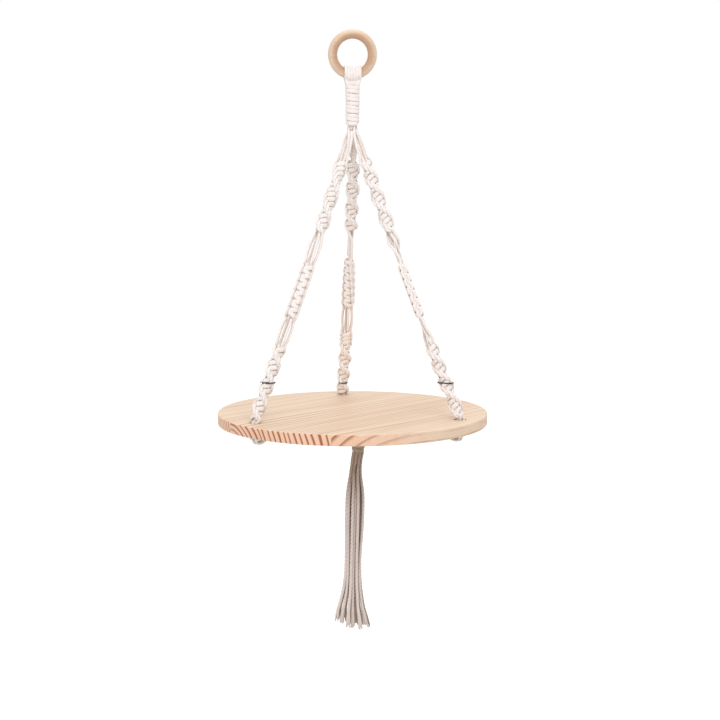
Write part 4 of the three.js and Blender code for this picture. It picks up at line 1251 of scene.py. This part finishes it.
class MakeWindings(bpy.types.Operator):
    """Makes the winding below the ring and the one above the tassel, each round its bundle"""
    bl_idname = "rope_shelf.make_windings"
    bl_label = "Windings"

    def execute(self, context):
        """The upper winding grows evenly wider from its foot to its top, and the one below the board has
        one radius."""
        swell = lambda z: (6.25 + 0.65 * (z - APEX_Z) / (BUNDLE_TOP_Z - APEX_Z)) * MM
        stations = winding_stations(BUNDLE_TOP_Z + 1.2 * MM, APEX_Z, swell, UPPER_WINDING_WIDTH)
        winding = cord_mesh("neck_winding", stations, sides=20, lay=14 * MM)
        dress(winding, "Winding Cotton", "wrap", ["top_winding"])
        level = lambda z: UNDER_WINDING_RADIUS + 0 * z
        stations = winding_stations(GATHER_TOP_Z, GATHER_BOTTOM_Z, level, UNDER_WINDING_WIDTH, GATHER_SHIFT)
        winding = cord_mesh("tassel_winding", stations, sides=20, lay=14 * MM)
        dress(winding, "Shaded Tassel Cotton", "shelf", ["under_winding"])
        self.make_bundle("neck_bundle", BUNDLE_TOP_Z, APEX_Z, 4.9 * MM, 0, "wrap", "top_bundle")
        self.make_bundle("tassel_bundle", GATHER_TOP_Z, GATHER_BOTTOM_Z, 5.2 * MM, GATHER_SHIFT, "shelf",
                         "under_bundle")
        return {"FINISHED"}

    def make_bundle(self, name, top, bottom, radius, shift, body, node):
        """The pressed cords inside a winding, as one fluted cord with nine plies, which ends a little
        inside the winding's two ends."""
        z = np.linspace(top - 1 * MM, bottom + 1 * MM, 5)
        at = np.column_stack([0 * z + shift, 0 * z, z])
        stations = columns(at, np.tile([0, 1, 0], (5, 1)), 2 * radius, 2 * radius)
        piece = cord_mesh(name, stations, step=2 * MM, sides=54, plies=9, lay=400 * MM)
        dress(piece, "Cotton", body, [node])


# A length below the apex that is handed to dress with the straps' two bodies; nothing twists the straps over
# it
STRAP_BEND_LENGTH = 30 * MM


class MakeStraps(bpy.types.Operator):
    """Makes the three straps, each of two filler cords and two knotting cords"""
    bl_idname = "rope_shelf.make_straps"
    bl_label = "Straps"

    def execute(self, context):
        diameter = context.scene.rope_shelf_sizes.cord_diameter
        bend = ("wrap", "shelf", (0, 0, APEX_Z), (0, 0, APEX_Z - STRAP_BEND_LENGTH))
        for name in AZIMUTHS:
            strap = Strap(name)
            # Painted light: the back strap gets its own paler cotton with warmer painted shade
            kind = "Back Cotton Painted Light" if name == "back" else "Cotton"
            for letter, side in (("a", -1), ("b", 1)):
                knotted = cord_mesh(f"{name}_knotting_{letter}", knotting_cord(strap, side, diameter))
                dress(knotted, kind, None, [f"{name}_knotting_cord_{letter}"], bend)
                filler = cord_mesh(f"{name}_filler_{letter}", filler_cord(strap, side, diameter))
                dress(filler, kind, None, [f"{name}_filler_cord_{letter}"], bend)
        return {"FINISHED"}


# A binding thread goes round a strap at these distances from its line, and is this thick and wide
THREAD_BESIDE = 7.6 * MM
THREAD_OUT = 4.9 * MM
THREAD_THICKNESS = 1.3 * MM
THREAD_WIDTH = 1.5 * MM


class MakeThreads(bpy.types.Operator):
    """Makes the thin dark thread round the lower row of each strap"""
    bl_idname = "rope_shelf.make_threads"
    bl_label = "Threads"

    def execute(self, context):
        """A rounded rectangle, from a cosine and a sine raised to two thirds, that is turned with the
        strap and lies level."""
        for name in AZIMUTHS:
            strap = Strap(name)
            distance = strap.length * THREAD_SHARES[name]
            turned = float(strap.turn(distance))
            angle = FULL * np.arange(72) / 72
            bent = lambda x: np.sign(x) * np.abs(x) ** (2 / 3)
            u, v = THREAD_BESIDE * bent(np.cos(angle)), THREAD_OUT * bent(np.sin(angle))
            lean = math.tan(math.acos((APEX_Z - BOARD_TOP_Z) / strap.length))
            shift = (u * math.sin(turned) + v * math.cos(turned)) * lean
            at = strap.place(distance + shift, u, v, turned)
            out = unit(at - at.mean(axis=0))
            line = columns(at, out, THREAD_THICKNESS, THREAD_WIDTH)
            piece = closed_cord_mesh(f"{name}_thread", line, sides=10, plies=2, lay=2.5 * MM)
            dress(piece, "Thread", "shelf", [f"{name}_binding_thread"])
        return {"FINISHED"}


class RopeShelfPanel(bpy.types.Panel):
    """Lists the shelf's sizes and colours and the operators that make its pieces"""
    bl_idname = "VIEW3D_PT_rope_shelf"
    bl_label = "Rope Shelf"
    bl_space_type = "VIEW_3D"
    bl_region_type = "UI"
    bl_category = "Rope Shelf"

    def draw(self, context):
        for group in (context.scene.rope_shelf_sizes, context.scene.rope_shelf_colours):
            box = self.layout.box()
            for key in group.__annotations__:
                box.prop(group, key)
        for maker in MAKERS:
            self.layout.operator(maker.bl_idname)


MAKERS = (MakeStage, MakeTassel, MakeRing, MakeBoard, MakeLoops, MakeWindings, MakeStraps, MakeThreads)
CLASSES = (RopeShelfSizes, RopeShelfColours, *MAKERS, RopeShelfPanel)


def register():
    for cls in CLASSES:
        bpy.utils.register_class(cls)
    bpy.types.Scene.rope_shelf_sizes = bpy.props.PointerProperty(type=RopeShelfSizes)
    bpy.types.Scene.rope_shelf_colours = bpy.props.PointerProperty(type=RopeShelfColours)


def unregister():
    del bpy.types.Scene.rope_shelf_sizes
    del bpy.types.Scene.rope_shelf_colours
    for cls in reversed(CLASSES):
        bpy.utils.unregister_class(cls)


def main():
    register()
    bpy.ops.rope_shelf.make_stage()
    bpy.ops.rope_shelf.make_tassel()
    bpy.ops.rope_shelf.make_ring()
    bpy.ops.rope_shelf.make_board()
    bpy.ops.rope_shelf.make_loops()
    bpy.ops.rope_shelf.make_windings()
    bpy.ops.rope_shelf.make_straps()
    bpy.ops.rope_shelf.make_threads()


if __name__ == "__main__":
    main()
